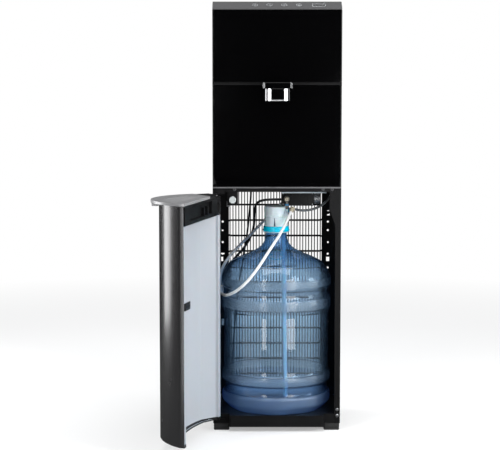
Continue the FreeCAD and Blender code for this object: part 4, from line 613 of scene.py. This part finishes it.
TUBE_RADIUS, TUBE_BORE, FILTER_RADIUS, TUBE_LEAN = 0.0055, 0.0043, 0.0062, math.radians(0.95)
low, high, mid, size = box_of("dip_tube")
tall = size.z / math.cos(TUBE_LEAN) - 0.0004
TUBE_SIDE = [(TUBE_BORE, 0), (TUBE_RADIUS, 0), (TUBE_RADIUS, tall), (TUBE_BORE, tall)]
FILTER_SIDE = [(TUBE_RADIUS, 0.001), (FILTER_RADIUS, 0.002), (FILTER_RADIUS, 0.016), (TUBE_RADIUS, 0.018)]
c, s = math.cos(TUBE_LEAN), math.sin(TUBE_LEAN)
lean = ((c, 0, s), (0, 1, 0), (-s, 0, c))
tube_foot = (high.x - TUBE_RADIUS, mid.y, low.z + 0.0001)
tube_milky = plastic("milky_tube", (0.58, 0.72, 0.82), 0.3, fine=200, depth=0.05, subsurface_weight=0.3,
                     subsurface_scale=0.01)
make("probe_dip_tube", [stand(lathe(TUBE_SIDE, 32, closed=True), tube_foot, lean),
                        stand(lathe(FILTER_SIDE, 32), tube_foot, lean)],
     tube_milky, stands_for=["dip_tube"])

# ---------------------------------------------------------------- hose nut
# A ribbed beige nut clamps the white hose on the cap's port. It is moulded nylon, turned on by hand, with a
# blue snap collar beside it on the port.
NUT_RADIUS, NUT_NARROW, NUT_BORE, NUT_LENGTH, NUT_RIBS = 0.0065, 0.0056, 0.0034, 0.012, 14
NUT_SIDE = [
    (NUT_BORE, 0), (NUT_NARROW, 0), (NUT_RADIUS, 0.0012), (NUT_RADIUS, 0.0075), (NUT_NARROW, 0.0082),
    (0.0054, 0.0108), (0.0046, NUT_LENGTH), (NUT_BORE, NUT_LENGTH),
]


def fluted(part, count, depth, low, high):
    """Presses grip flutes into a turned part between two heights: each radius there loses up to the depth,
    as a cosine of the angle times the count."""
    points = part[0].copy()
    turn, wide = np.arctan2(points[:, 1], points[:, 0]), np.hypot(points[:, 0], points[:, 1])
    inside = (points[:, 2] > low) & (points[:, 2] < high) & (wide > depth)
    share = np.where(inside, 1 - depth / np.maximum(wide, 1e-9) * (0.5 - 0.5 * np.cos(count * turn)), 1)
    points[:, :2] *= share[:, None]
    return points, part[1]


def ring_of(radius, bore, length, edge):
    """A turned ring with eased outer edges."""
    side = [(bore, 0), (radius - edge, 0), (radius, edge), (radius, length - edge), (radius - edge, length)]
    return lathe(side + [(bore, length)], 40, closed=True)


nylon = plastic("beige_nylon", (0.52, 0.46, 0.34), 0.4, fine=300, depth=0.1)
collar_blue = plastic("blue_collar_plastic", (0.02, 0.17, 0.36), 0.3, fine=300, depth=0.08)
low, high, mid, size = box_of("hose_nut")
hose_way = np.subtract(PROBE_HOSE[1], PROBE_HOSE[0])
hose_way = hose_way / np.linalg.norm(hose_way)
nut_side = np.cross((0, 0, 1), hose_way)
nut_side = nut_side / np.linalg.norm(nut_side)
nut = fluted(lathe(NUT_SIDE, NUT_RIBS * 8, closed=True), NUT_RIBS, 0.0006, 0.0008, 0.008)
nut_axes = (nut_side, np.cross(hose_way, nut_side), hose_way)
make("ribbed_hose_nut", [stand(nut, np.array(mid) - hose_way * NUT_LENGTH / 2, nut_axes)], nylon,
     stands_for=["hose_nut"], crease=50)
collar = ring_of(0.0066, PORT_RADIUS - 0.0001, 0.0034, 0.0005)
make("port_snap_collar", [stand(collar, (0.0288, PORT_Y, port_z), "right")], collar_blue)

# ---------------------------------------------------------------- pump
# A small diaphragm pump with its motor hangs under a zinc plated steel bracket. Its black head has a screwed
# cover and a banjo fitting with a barbed stem, on which a blue collar holds the hose.
RIBS, RIB_PITCH, RIB_WIDE, RIB_PROUD = 5, 0.009, 0.0022, 0.0009
RIB_FIRST, RIB_LOW, RIB_HIGH = 0.026, 0.003, 0.026
HEAD_SIDE = [(0, 0), (0.0115, 0), (0.0115, 0.0011), (0.0105, 0.0018), (0.0075, 0.0018), (0.0070, 0.0012),
             (0, 0.0012)]
SCREW_SIDE = [(0, -0.0004), (0.0016, -0.0004), (0.0016, 0.0003), (0.0011, 0.0007), (0, 0.0008)]
MOTOR_RADIUS, MOTOR_NARROW, SCREW_INSET = 0.013, 0.0126, 0.004
LIP_UNDER, LIP_OVER, LIP_WALL = 0.0019, 0.0018, 0.0011
STEM_SIDE = [(0, 0), (0.0026, 0), (0.0034, 0.0022), (0.0028, 0.0024), (0.0035, 0.0046), (0.0029, 0.0048),
             (0.0035, 0.007), (0.0030, 0.0072), (0.0030, 0.020), (0, 0.020)]
zinc = uneven(finish("zinc_plate", (0.55, 0.56, 0.58), 0.34, metallic=0.95), 60, 0.24, 0.44, 4)
varied(zinc, grain(zinc, 140, 2), "Base Color", (0.46, 0.47, 0.49), (0.62, 0.63, 0.65))
brass = uneven(finish("dull_brass", (0.15, 0.14, 0.125), 0.40, metallic=0.4), 160, 0.28, 0.5)
galvanised = finish("galvanised_lip", (0.66, 0.76, 0.82), 0.42, metallic=0.1)
varied(galvanised, grain(galvanised, 90, 3), "Base Color", (0.58, 0.68, 0.74), (0.72, 0.82, 0.88))

low, high, mid, size = box_of("pump_body")
pump_z = mid.z
fit_low, fit_high, fit, fit_size = box_of("pump_fitting")
body = moulding(size.x / 2, size.z / 2, 0.0032, rounded_rows(0, size.y, 0.0014))
ribs = [brick((x, low.y - RIB_PROUD, low.z + RIB_LOW), (x + RIB_WIDE, low.y + 0.002, low.z + RIB_HIGH))
        for x in low.x + RIB_FIRST + RIB_PITCH * np.arange(RIBS)]
head = stand(lathe(HEAD_SIDE, 40), (fit.x, low.y, pump_z), "front")
make("pump_head_and_case", [stand(body, (mid.x, high.y, pump_z), "front"), head] + ribs, black_plastic,
     stands_for=["pump_body"])
screw = lathe(SCREW_SIDE, 20)
make("pump_case_screws", [stand(screw, (x, low.y, z), "front")
                          for x in (low.x + SCREW_INSET, high.x - SCREW_INSET)
                          for z in (low.z + SCREW_INSET, high.z - SCREW_INSET)], zinc)

low, high, mid, size = box_of("pump_motor")
long = size.x
MOTOR_SIDE = [
    (0, 0), (MOTOR_RADIUS, 0), (MOTOR_RADIUS, 0.003), (MOTOR_NARROW, 0.0036), (MOTOR_NARROW, 0.0052),
    (MOTOR_RADIUS, 0.0058), (MOTOR_RADIUS, long - 0.0025), (0.0115, long - 0.0012), (0.0045, long - 0.0012),
    (0.004, long), (0, long),
]
can = lathe(softened(MOTOR_SIDE, 0.0007, 4), 48)
make("pump_motor_can", [stand(can, (low.x, mid.y, mid.z), "right")], zinc,
     stands_for=["pump_motor"], crease=45)
eased("pump_bracket", "pump_hanger", zinc, edge=0.0004)
low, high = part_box("pump_bracket")
lip = brick((low.x, low.y - LIP_WALL, low.z - LIP_UNDER), (high.x, low.y + 0.0002, low.z + LIP_OVER))
make("pump_hanger_lip", [lip], galvanised, edge=0.0003)

banjo = ring_of(0.007, 0.0022, fit_size.y, 0.0009)
make("brass_banjo_fitting", [stand(banjo, (fit.x, fit_high.y, pump_z), "front"),
                             stand(lathe(STEM_SIDE, 28), (fit.x, fit.y, fit_low.z))],
     brass, stands_for=["pump_fitting"])
bolt = moulding(0.0038, 0.0038, 0.0012, rounded_rows(0, 0.0022, 0.0005), 3)
make("banjo_bolt", [stand(bolt, (fit.x, fit_low.y + 0.0018, pump_z), "front")], nylon)
eye = lathe([(0, 0), (0.0013, 0), (0.0012, 0.0004), (0, 0.0005)], 20)
make("banjo_bolt_eye", [stand(eye, (fit.x, fit_low.y - 0.0004, pump_z), "front")], slit_shade_blue)
collar = ring_of(0.0050, 0.0031, 0.0042, 0.0005)
make("fitting_snap_collar", [stand(collar, (fit.x, fit.y, fit_low.z + 0.009))], collar_blue)

# ---------------------------------------------------------------- door switch
# A black switch box is screwed under the beam. Its round plunger moves in when it is pushed, and a small
# steel angle beside it guides the door.
CROSS_LONG, CROSS_WIDE = 0.005, 0.0011
ANGLE_WIDE, ANGLE_TALL, ANGLE_DEEP, ANGLE_WALL = 0.009, 0.013, 0.012, 0.0009
satin_white = plastic("satin_white_plastic", (0.62, 0.66, 0.66), 0.38, fine=300, depth=0.1)
eased("switch_housing", "door_switch_box", black_plastic, edge=0.0008)
low, high, mid, size = box_of("switch_plunger")
radius, long = size.x / 2, size.y
PLUNGER_SIDE = [
    (0, 0), (radius, 0), (radius, long - 0.0014), (radius - 0.0008, long - 0.0002),
    (radius - 0.0020, long - 0.0002), (radius - 0.0024, long - 0.0012), (0, long - 0.0012),
]
cross = [moulding(wide, tall, 0.0004, [(0, long - 0.0013), (0, long - 0.0006), (0.0002, long - 0.0004)], 2)
         for wide, tall in ((CROSS_LONG, CROSS_WIDE), (CROSS_WIDE, CROSS_LONG))]
make("switch_push_plunger", [stand(part, (mid.x, high.y, mid.z), "front")
                             for part in [lathe(PLUNGER_SIDE, 48)] + cross],
     satin_white, body="plunger", stands_for=["switch_plunger"])
corner = np.array(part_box("switch_housing")[0]) - (0.0012, 0, 0.0025)
make("switch_steel_angle", [brick(corner - (0, ANGLE_WALL, 0), corner + (wide, ANGLE_DEEP, tall))
                            for wide, tall in ((ANGLE_WALL, ANGLE_TALL), (ANGLE_WIDE, ANGLE_WALL))],
     zinc, edge=0.0002)

# ---------------------------------------------------------------- front panels
# Two glossy black moulded shells, polished like a piano, are clipped on a black chassis plate: the upper one
# stands a little proud, and a grey trim strip closes the lower one's edge over the door.
PANEL_CORNER, PANEL_WALL, PANEL_EDGE = 0.004, 0.003, 0.0016
TRIM_TALL, TRIM_DEEP = 0.0036, 0.0026
piano_black = finish("piano_black", (0.0010, 0.0010, 0.0012), 0.075, coat_weight=0.6, coat_roughness=0.03)
uneven(piano_black, 12, 0.06, 0.10)
bumped(piano_black, grain(piano_black, 160, 1), 0.02, 0.0002)


def front_shell(node, wall):
    """A front panel's shell, open at the back: from the room's face out round the rim to the eased front."""
    low, high, mid, size = box_of(node)
    angle = np.linspace(0, math.pi / 2, 5)
    edge = min(PANEL_EDGE, size.y / 2)
    over = list(zip(edge * (1 - np.cos(angle)), size.y - edge * (1 - np.sin(angle))))
    rows = [(PANEL_WALL, size.y - wall), (PANEL_WALL, 0), (0, 0)] + over
    return stand(moulding(size.x / 2, size.z / 2, PANEL_CORNER, rows, 8), (mid.x, high.y, mid.z), "front")


make("upper_black_panel", [front_shell("upper_front_panel", PANEL_WALL)], piano_black,
     stands_for=["upper_front_panel"])
make("lower_black_panel", [front_shell("dispenser_panel", 0.0015)], piano_black,
     stands_for=["dispenser_panel"])
eased("front_chassis", "panel_chassis", black_plastic, edge=0.0004)
trim_grey = plastic("trim_grey", (0.12, 0.12, 0.125), 0.3, fine=500, depth=0.1)
low, high, mid, size = box_of("dispenser_panel")
trim = moulding(size.x / 2 - 0.0005, TRIM_TALL / 2, 0.0012, rounded_rows(0, TRIM_DEEP, 0.0010, 3), 3)
trim_at = (0, low.y + TRIM_DEEP - 0.0004, low.z - TRIM_TALL / 2 - 0.0002)
make("lower_trim_strip", [stand(trim, trim_at, "front")], trim_grey)

# ---------------------------------------------------------------- spout
# Under the upper panel a black collar with chromed side caps carries the spout: a gloss black shell with two
# slanted chrome strips, a black plate between them, a pale bar below and two nozzles inside.
SIDE_CAP, SPOUT_WALL = 0.0026, 0.0025
# A chrome strip in plan, from the front plate's edge outwards: a slanted flat and a round corner.
STRIP_PLAN = [(0.0152, 0.0002), (0.0152, -0.0021), (0.0236, 0.0003), (0.0266, 0.0020), (0.0284, 0.0048),
              (0.0286, 0.0090)]
STRIP_WALL = 0.0012
NOZZLE_RADIUS, NOZZLE_BORE, NOZZLE_LONG = 0.005, 0.0026, 0.016
chrome = uneven(finish("bright_chrome", (0.80, 0.81, 0.83), 0.07, metallic=1.0), 40, 0.04, 0.11)
pale_bar = plastic("pale_grey_plastic", (0.42, 0.43, 0.44), 0.3, fine=400, depth=0.08)


def bent_wall(face, back, heights, shares=(1, 1)):
    """A wall between two lines of the same number of points in plan, carried up through heights. At each
    height the distance of a line's points behind its first one is scaled by that height's share."""
    rows = [np.c_[line[:, 0], line[0, 1] + share * (line[:, 1] - line[0, 1]), np.full(len(line), z)]
            for line, order in ((face, 1), (back, -1)) for z, share in list(zip(heights, shares))[::order]]
    count, total = len(face), len(rows)
    ends = [[i * count for i in range(total)], [(total - i) * count - 1 for i in range(total)]]
    return np.concatenate(rows), grid_faces(total, count, wrap_rows=True) + ends


low, high, mid, size = box_of("spout_collar")
make("spout_black_collar", [stand(moulding(size.x / 2, size.y / 2, 0.004, rounded_rows(0, size.z, 0.0008)),
                                  (0, mid.y, low.z))],
     piano_black, stands_for=["spout_collar"])
cap = moulding(SIDE_CAP, size.y / 2 + 0.0003, 0.0014, rounded_rows(0.0004, size.z - 0.0004, 0.0008), 8)
make("collar_chrome_caps", [stand(cap, (side * (size.x / 2 - SIDE_CAP + 0.0006), mid.y - 0.0006, low.z))
                            for side in (-1, 1)], chrome)

low, high, mid, size = box_of("spout_body")
tall = size.z
rows = [(SPOUT_WALL, tall - SPOUT_WALL), (SPOUT_WALL, 0.0004), (SPOUT_WALL - 0.0006, 0), (0.0006, 0),
        (0, 0.0006), (0, tall - 0.0008), (0.0003, tall - 0.0002), (0.0008, tall)]
make("spout_black_shell", [stand(moulding(size.x / 2, size.y / 2, 0.008, rows, 10), (mid.x, mid.y, low.z))],
     piano_black, stands_for=["spout_body"])
plan, strips = softened(STRIP_PLAN, 0.0012, 5), []
for side in (-1, 1):
    front = np.c_[side * plan[:, 0], low.y + plan[:, 1]]
    back = np.c_[side * np.maximum(plan[:, 0] - STRIP_WALL, plan[0, 0]), low.y + plan[:, 1] + STRIP_WALL]
    strips.append(bent_wall(front, back, (low.z + 0.0006, high.z - 0.0006)))
make("spout_chrome_strips", strips, chrome, crease=25)
bar = moulding(0.0152, 0.0013, 0.0008, rounded_rows(-0.0004, 0.0016, 0.0007))
nozzle = ring_of(NOZZLE_RADIUS, NOZZLE_BORE, NOZZLE_LONG, 0.0007)
nozzle_z = high.z - SPOUT_WALL - NOZZLE_LONG
face_low, face_high, face_mid, face_size = box_of("spout_face")
face = moulding(face_size.x / 2 - 0.0006, face_size.z / 2, 0.0016, rounded_rows(-0.0004, face_size.y, 0.0008))
make("spout_front_plate", [stand(face, (0, face_high.y, face_mid.z), "front")], piano_black,
     stands_for=["spout_face"])
make("spout_pale_bar", [stand(bar, (0, low.y, low.z + 0.0015), "front")], pale_bar)
make("spout_nozzles", [stand(nozzle, (side * NOZZLE_RADIUS * 1.5, mid.y, nozzle_z)) for side in (-1, 1)],
     satin_white)

# ---------------------------------------------------------------- control panel
# A glossy dark grey plate slopes up to the lid. Four round push keys with pale rings and plain marks sit in
# it, and a smoked window with a pale outline shows three lamps. Everything is clipped in from below.
KEY_SIDE = [
    (0, -0.0040), (0.0085, -0.0040), (0.0085, -0.0028), (0.007, -0.0028), (0.007, 0.0003), (0.0067, 0.0007),
    (0.0063, 0.0008), (0.0058, 0.0008), (0.0054, 0.0006), (0.0049, 0.0004), (0, 0.0003),
]
RIM_SIDE = [(0.0059, 0.0007), (0.0066, 0.0007), (0.0066, 0.00088), (0.0059, 0.00088)]
MARK_LOW, MARK_HIGH, MARK_HALF = 0.0002, 0.00048, 0.0003
panel_grey = finish("panel_dark_grey", (0.055, 0.055, 0.058), 0.16, coat_weight=0.5, coat_roughness=0.06)
uneven(panel_grey, 30, 0.13, 0.2)
key_dark = plastic("dark_key_cap", (0.045, 0.045, 0.048), 0.3, fine=500, depth=0.1)
mark_pale = plastic("pale_print", (0.62, 0.64, 0.66), 0.4, fine=500, depth=0.05)
eased("control_panel", "sloping_control_panel", panel_grey, edge=0.0007)
low, high, panel_mid, size = box_of("control_panel")
slope = math.atan2(size.z, size.y)
ON_SLOPE = ((1, 0, 0), (0, math.cos(slope), math.sin(slope)), (0, -math.sin(slope), math.cos(slope)))


def mark_bar(x, y, half_long, turn, half_wide=0.00035):
    """A thin bar of a key's mark, turned in the key's face."""
    points, faces = moulding(half_wide, half_long, half_wide * 0.9, [(0, MARK_LOW), (0, MARK_HIGH)], 3)
    c, s = math.cos(turn), math.sin(turn)
    return points @ np.array(((c, s, 0), (-s, c, 0), (0, 0, 1))) + (x, y, 0), faces


def mark_ring(x, y, radius):
    """A thin ring of a key's mark."""
    low, high = radius - MARK_HALF, radius + MARK_HALF
    ring = lathe([(low, MARK_LOW), (high, MARK_LOW), (high, MARK_HIGH), (low, MARK_HIGH)], 28, closed=True)
    return ring[0] + (x, y, 0), ring[1]


MARKS = {
    "hot": [mark_bar(x, 0, 0.0021, 0) for x in (-0.0015, 0, 0.0015)],
    "warm": [mark_bar(x, 0, 0.0019, 0) for x in (-0.0009, 0.0009)],
    "cold": [mark_bar(0, 0, 0.0023, math.pi / 3 * i) for i in range(3)],
    "lock": [mark_ring(0, 0.0008, 0.0012), mark_bar(0, -0.0011, 0.0017, math.pi / 2, 0.0011)],
}
for word, mark in MARKS.items():
    place = (box_of(word + "_button")[2].x, panel_mid.y, panel_mid.z)
    make(word + "_key_cap", [stand(lathe(softened(KEY_SIDE, 0.0003, 3), 56), place, ON_SLOPE)], key_dark,
         body=word + "_key", stands_for=[word + "_button"])
    rim = lathe(RIM_SIDE, 56, closed=True)
    make(word + "_key_mark", [stand(part, place, ON_SLOPE) for part in mark + [rim]], mark_pale,
         body=word + "_key")

smoked = finish("smoked_window", (0.012, 0.012, 0.014), 0.08, coat_weight=0.8, coat_roughness=0.03)
bumped(smoked, grain(smoked, 200, 1), 0.02)
eased("display_window", "smoked_display", smoked, edge=0.0002)
WINDOW, OUTLINE, AROUND = (0.0157, 0.0067), 0.0006, 28
place = (box_of("display_window")[2].x, panel_mid.y, panel_mid.z)
rows = [(0, -0.0002), (0, 0.0003), (OUTLINE, 0.0003), (OUTLINE, -0.0002)]
points, faces = moulding(*WINDOW, 0.0025, rows, 6)
joined = [[a + 3 * AROUND, (a + 1) % AROUND + 3 * AROUND, (a + 1) % AROUND, a] for a in range(AROUND)]
lamp = lathe([(0, -0.0001), (0.0007, -0.0001), (0.0006, 0.0002), (0, 0.0002)], 20)
make("display_outline", [stand((points, faces[:-2] + joined), place, ON_SLOPE)]
     + [stand(lamp, (place[0] + x, place[1], place[2]), ON_SLOPE) for x in (-0.008, 0, 0.008)],
     mark_pale)

# ---------------------------------------------------------------- top cover and rear cover
# A shallow black moulded lid with a soft crown closes the top behind the control panel, and a vented sheet
# steel cover is screwed over the back of the upper part.
REAR_SCREW_SIDE = [(0, -0.0002), (0.0034, -0.0002), (0.0034, 0.0006), (0.0026, 0.0014), (0, 0.0018)]
REAR_INSET_X, REAR_INSET_Z = 0.008, 0.01
eased("top_cover", "moulded_top_lid", black_plastic, edge=0.0018)
eased("rear_cover", "vented_rear_sheet", powder_coat, edge=0.0002)
low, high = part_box("rear_cover")
make("rear_sheet_screws", [stand(lathe(REAR_SCREW_SIDE, 28), (x, high.y, z), "back")
                           for x in (low.x + REAR_INSET_X, high.x - REAR_INSET_X)
                           for z in np.linspace(low.z + REAR_INSET_Z, high.z - REAR_INSET_Z, 4)],
     zinc)

# ---------------------------------------------------------------- hinge and screws
# Two folded steel brackets hold the door's pins, above and below. Pan head screws with cross recesses fix
# them, the beam and the right flange; the two at the flange's foot are bright.
SCREW_RADIUS = 0.004
SCREW_PLACES = [(0.148, 0.036), (0.148, 0.051), (0.133, 0.5908), (0.111, 0.5908), (-0.1022, 0.5908)]
PAN_SIDE = [(0, 0.00005), (SCREW_RADIUS, 0.00005), (SCREW_RADIUS, 0.0006), (0.0036, 0.0013), (0.0026, 0.0018),
            (0.0012, 0.0019), (0, 0.0019)]
RECESS_LONG, RECESS_WIDE = 0.0020, 0.0004
dull_steel = uneven(finish("blackened_steel", (0.10, 0.10, 0.105), 0.4, metallic=0.6), 200, 0.3, 0.5)
painted_recess_shade = plastic("painted_recess_shade", (0.01, 0.01, 0.01), 0.6)
eased("hinge_brackets", "steel_hinge_brackets", powder_coat, edge=0.0004)
eased("hinge_pins", "steel_hinge_pins", zinc, edge=0.0004)
front_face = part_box("left_side_panel")[0].y
pan_head = lathe(softened(PAN_SIDE, 0.0003, 3), 36)
# The cross recesses are not cut: thin black crosses laid on the heads paint the shade inside them.
recess = [moulding(wide, tall, 0.0002, [(0, 0.0016), (0, 0.00195)], 2)
          for wide, tall in ((RECESS_LONG, RECESS_WIDE), (RECESS_WIDE, RECESS_LONG))]
for name, parts, places, material, slot, stands_for in (
        ("pan_head_screws", [pan_head], SCREW_PLACES[:2], zinc, "steel", ["panel_screws"]),
        ("beam_screws", [pan_head], SCREW_PLACES[2:], dull_steel, "steel", []),
        ("screw_cross_recesses", recess, SCREW_PLACES, painted_recess_shade, "black_plastic", [])):
    make(name, [stand(part, (x, front_face, z), "front") for x, z in places for part in parts], material,
         stands_for=stands_for)

# ---------------------------------------------------------------- door
# A bowed steel skin in graphite lacquer and a pale moulded liner are held between two black end caps. The
# door is laid out as it shuts and then turned about its pins; a magnetic catch sits on its free edge.
DOOR_HALF, DOOR_BACK, SIDE_DEPTH, BULGE = 0.153, -0.122, 0.010, 0.087
SKIN_WALL, BOW_STEPS = 0.002, 48
LINER_FLANGE, LINER_HALF, LINER_SIDE, LINER_WALL = 0.1507, 0.138, 0.008, 0.002
LINER_SLOPE, SLOPE_RUN, LINER_BULGE = 0.028, 0.038, 0.014
# The hollow's depth by height: a rounded foot, the full depth, a slope and a step under the top block.
LINER_FOOT = [(0, 0.82), (0.001, 0.88), (0.004, 0.945), (0.008, 0.98), (0.015, 1)]
LINER_HEAD = [(0.031, 1), (0.009, 0.92), (0.0075, 0.86), (0, 0.86)]
EDGE_TALL, EDGE_UNDER, EDGE_OVER, EDGE_SHARES = 0.0045, 0.0028, 0.0006, (0.8, 0.95)
CATCH_THICK, POLE_PLACES, POLE_RISE = 0.0037, (0.122, 0.1315, 0.141), 0.0040
hinge = next(joint for joint in frame["joints"] if joint["name"] == "door_hinge")
PIN_X, PIN_Y = hinge["pos_m"][:2]
DOOR_OPEN = math.radians(hinge["range_deg"][1])


def swing(part):
    """Turns a part of the shut door about the pins to where the door stands open: a rotation about z."""
    points = part[0].copy()
    across, along = points[:, 0] - PIN_X, points[:, 1] - PIN_Y
    c, s = math.cos(DOOR_OPEN), math.sin(DOOR_OPEN)
    points[:, 0] = PIN_X + c * across + s * along
    points[:, 1] = PIN_Y - s * across + c * along
    return points, part[1]


def bow(half, side_y, bulge):
    """An arc in plan from one side to the other, through a point that stands a bulge in front: its radius
    is (half squared plus bulge squared) over twice the bulge."""
    radius = (half ** 2 + bulge ** 2) / (2 * bulge)
    reach = math.asin(half / radius)
    angle = np.linspace(-reach, reach, BOW_STEPS + 1)
    return np.stack([radius * np.sin(angle), side_y - bulge + radius - radius * np.cos(angle)], axis=1)


def skin_line(wall):
    """The skin in plan, drawn in by a wall: a short straight side, the bow and the other side."""
    half = DOOR_HALF - wall
    middle = bow(half, DOOR_BACK - SIDE_DEPTH, BULGE - wall)
    return softened(np.concatenate([[(-half, DOOR_BACK)], middle, [(half, DOOR_BACK)]]), 0.003, 3)


def liner_line(grow):
    """The liner in plan: a flange, a short side, a slope, the bow and the same again, with eased corners. The
    outer line is the inner one grown by the wall."""
    half, back = LINER_HALF + grow, DOOR_BACK - grow
    side_end = DOOR_BACK - LINER_SIDE - grow
    ends = [(-LINER_FLANGE, back), (-half, back), (-half, side_end)]
    middle = bow(LINER_HALF - SLOPE_RUN, side_end - LINER_SLOPE, LINER_BULGE)
    return softened(np.concatenate([ends, middle, [(-x, y) for x, y in ends[::-1]]]), 0.0035, 4)


graphite = finish("graphite_lacquer", (0.07, 0.07, 0.072), 0.26, metallic=0.7, coat_weight=0.4,
                  coat_roughness=0.14)
varied(graphite, grain(graphite, 2600, 1), "Base Color", (0.045, 0.045, 0.047), (0.10, 0.10, 0.102))
uneven(graphite, 25, 0.255, 0.275)
low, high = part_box("door_skin")
skin = bent_wall(skin_line(0), skin_line(SKIN_WALL), (low.z, high.z))
make("bowed_door_skin", [swing(skin)], graphite, body="door", stands_for=["door_skin"],
     edge=0.0005)

liner_white = plastic("liner_white", (0.40, 0.43, 0.47), 0.36, fine=600, depth=0.12, subsurface_weight=0.08,
                      subsurface_scale=0.01)
low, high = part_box("door_liner")
heights, shares = zip(*[(low.z + up, share) for up, share in LINER_FOOT],
                      *[(high.z - down, share) for down, share in LINER_HEAD])
liner = bent_wall(liner_line(0), liner_line(LINER_WALL), heights, shares)
make("pale_door_liner", [swing(liner)], liner_white, body="door", stands_for=["door_liner"],
     edge=0.0005)
# The lower cap's black edge shows under the liner, along its own plan.
foot_line = liner_line(-EDGE_OVER)
foot_line[:, 0] = np.clip(foot_line[:, 0], EDGE_OVER - LINER_FLANGE, LINER_FLANGE - EDGE_OVER)
foot_edge = bent_wall(foot_line, liner_line(LINER_WALL / 2), (low.z - EDGE_UNDER, low.z + EDGE_TALL),
                      EDGE_SHARES)
make("door_foot_edge", [swing(foot_edge)], black_plastic, body="door")
for node, name, edge in (
        ("door_top_cap", "door_upper_cap", 0.0006), ("door_bottom_cap", "door_lower_cap", 0.0006),
        ("door_top_block", "door_inner_head", 0.0009), ("door_catch", "magnetic_door_catch", 0.0006)):
    eased(node, name, black_plastic, body="door", edge=edge)
pole = moulding(0.0021, 0.0018, 0.0005, rounded_rows(-0.0008, 0.00012, 0.0003, 2), 2)
pole_z = box_of("door_catch")[2].z
make("catch_pole_plates", [swing(stand(pole, (x, DOOR_BACK + CATCH_THICK, pole_z + rise), "back"))
                           for x in POLE_PLACES for rise in (-POLE_RISE, POLE_RISE)],
     dull_steel, body="door")

# ---------------------------------------------------------------- drip tray and grille
# A half-moon tray in brushed grey finish lies on the door's top, with a bowl let into the door and a pull
# lip in front. A slotted grille lies loose in the bowl; both lift off for cleaning.
BRUSH_LINES = (0.05, 0.0006, 0.0006)
tray_grey = finish("brushed_tray_grey", (0.40, 0.40, 0.41), 0.36, metallic=0.4)
brushing = grain(tray_grey, 1, 3, BRUSH_LINES, -DOOR_OPEN, "TEXTURE")
varied(tray_grey, brushing, "Roughness", 0.27, 0.42)
bumped(tray_grey, brushing, 0.3, 0.0001)
eased("drip_tray", "half_moon_drip_tray", tray_grey, body="tray", edge=0.0008)
eased("drip_grille", "slotted_drip_grille", tray_grey, body="grille", edge=0.0003)

# ---------------------------------------------------------------- inside the upper part
# A compressor on rubber mounts, a steel hot tank, a steel cold tank with its copper coil in white foam,
# three valves, silicone water lines and the control board. They are screwed or clamped on the shelf.
compressor_paint = plastic("compressor_paint", (0.014, 0.014, 0.015), 0.3, fine=300, depth=0.15)
stainless = finish("brushed_stainless", (0.60, 0.61, 0.62), 0.3, metallic=1.0)
uneven(stainless, 40, 0.22, 0.42, stretch=(1, 1, 25))
copper = uneven(finish("bare_copper", (0.72, 0.36, 0.20), 0.3, metallic=1.0), 80, 0.22, 0.42)
foam = plastic("white_foam", (0.74, 0.74, 0.71), 0.9, fine=350, depth=0.8)
board_green = plastic("circuit_board_green", (0.03, 0.20, 0.07), 0.35, fine=900, depth=0.1)
for node, name, material, slot, edge in (
        ("compressor", "welded_compressor_can", compressor_paint, "cabinet_black", 0.0015),
        ("compressor_mounts", "rubber_compressor_mounts", rubber, "foot_rubber", 0.0008),
        ("hot_tank", "stainless_hot_tank", stainless, "tank_steel", 0.002),
        ("cold_tank", "stainless_cold_tank", stainless, "tank_steel", 0.002),
        ("evaporator_coil", "copper_evaporator_coil", copper, "copper", 0),
        ("tank_insulation", "foam_tank_jacket", foam, "foam", 0.003),
        ("dispense_valves", "three_dispense_valves", satin_white, "white_plastic", 0.0006),
        ("water_lines", "silicone_water_lines", hose_white, "hose_white", 0),
        ("control_board", "green_control_board", board_green, "board_green", 0.0003)):
    eased(node, name, material, edge=edge, flat=0.6 if edge else 0.01)

# ---------------------------------------------------------------- rear fittings
# The mains inlet is a black moulded socket with three flat pins, screwed to the rear cover. Beside it two
# fluted white plugs close the tanks' drains.
PIN_HALF_WIDE, PIN_HALF_TALL, PIN_LONG, INLET_DEPTH = 0.0010, 0.0020, 0.0075, 0.002
PIN_PLACES = ((-0.007, -0.0012), (0, 0.0018), (0.007, -0.0012))
PLUG_RADIUS, PLUG_FLUTES = 0.009, 16
eased("power_inlet", "mains_inlet_shell", black_plastic, edge=0.0006)
low, high, mid, size = box_of("power_inlet")
inlet = np.array((mid.x, low.y + INLET_DEPTH, mid.z))
make("mains_inlet_pins", [brick(inlet + (x - PIN_HALF_WIDE, 0, z - PIN_HALF_TALL),
                                inlet + (x + PIN_HALF_WIDE, PIN_LONG, z + PIN_HALF_TALL))
                          for x, z in PIN_PLACES],
     zinc, edge=0.0002)
low, high, mid, size = box_of("drain_plugs")
long = size.y
PLUG_SIDE = [(0, 0), (PLUG_RADIUS, 0), (PLUG_RADIUS, 0.0012), (0.0084, 0.0018), (0.0086, long - 0.0012),
             (0.0078, long), (0.003, long), (0.0026, long - 0.001), (0, long - 0.001)]
plug = fluted(lathe(softened(PLUG_SIDE, 0.0004, 3), 96), PLUG_FLUTES, 0.0005, 0.002, long - 0.0016)
make("fluted_drain_plugs", [stand(plug, (x, low.y, mid.z), "back")
                            for x in (low.x + PLUG_RADIUS, high.x - PLUG_RADIUS)],
     satin_white, stands_for=["drain_plugs"], crease=50)
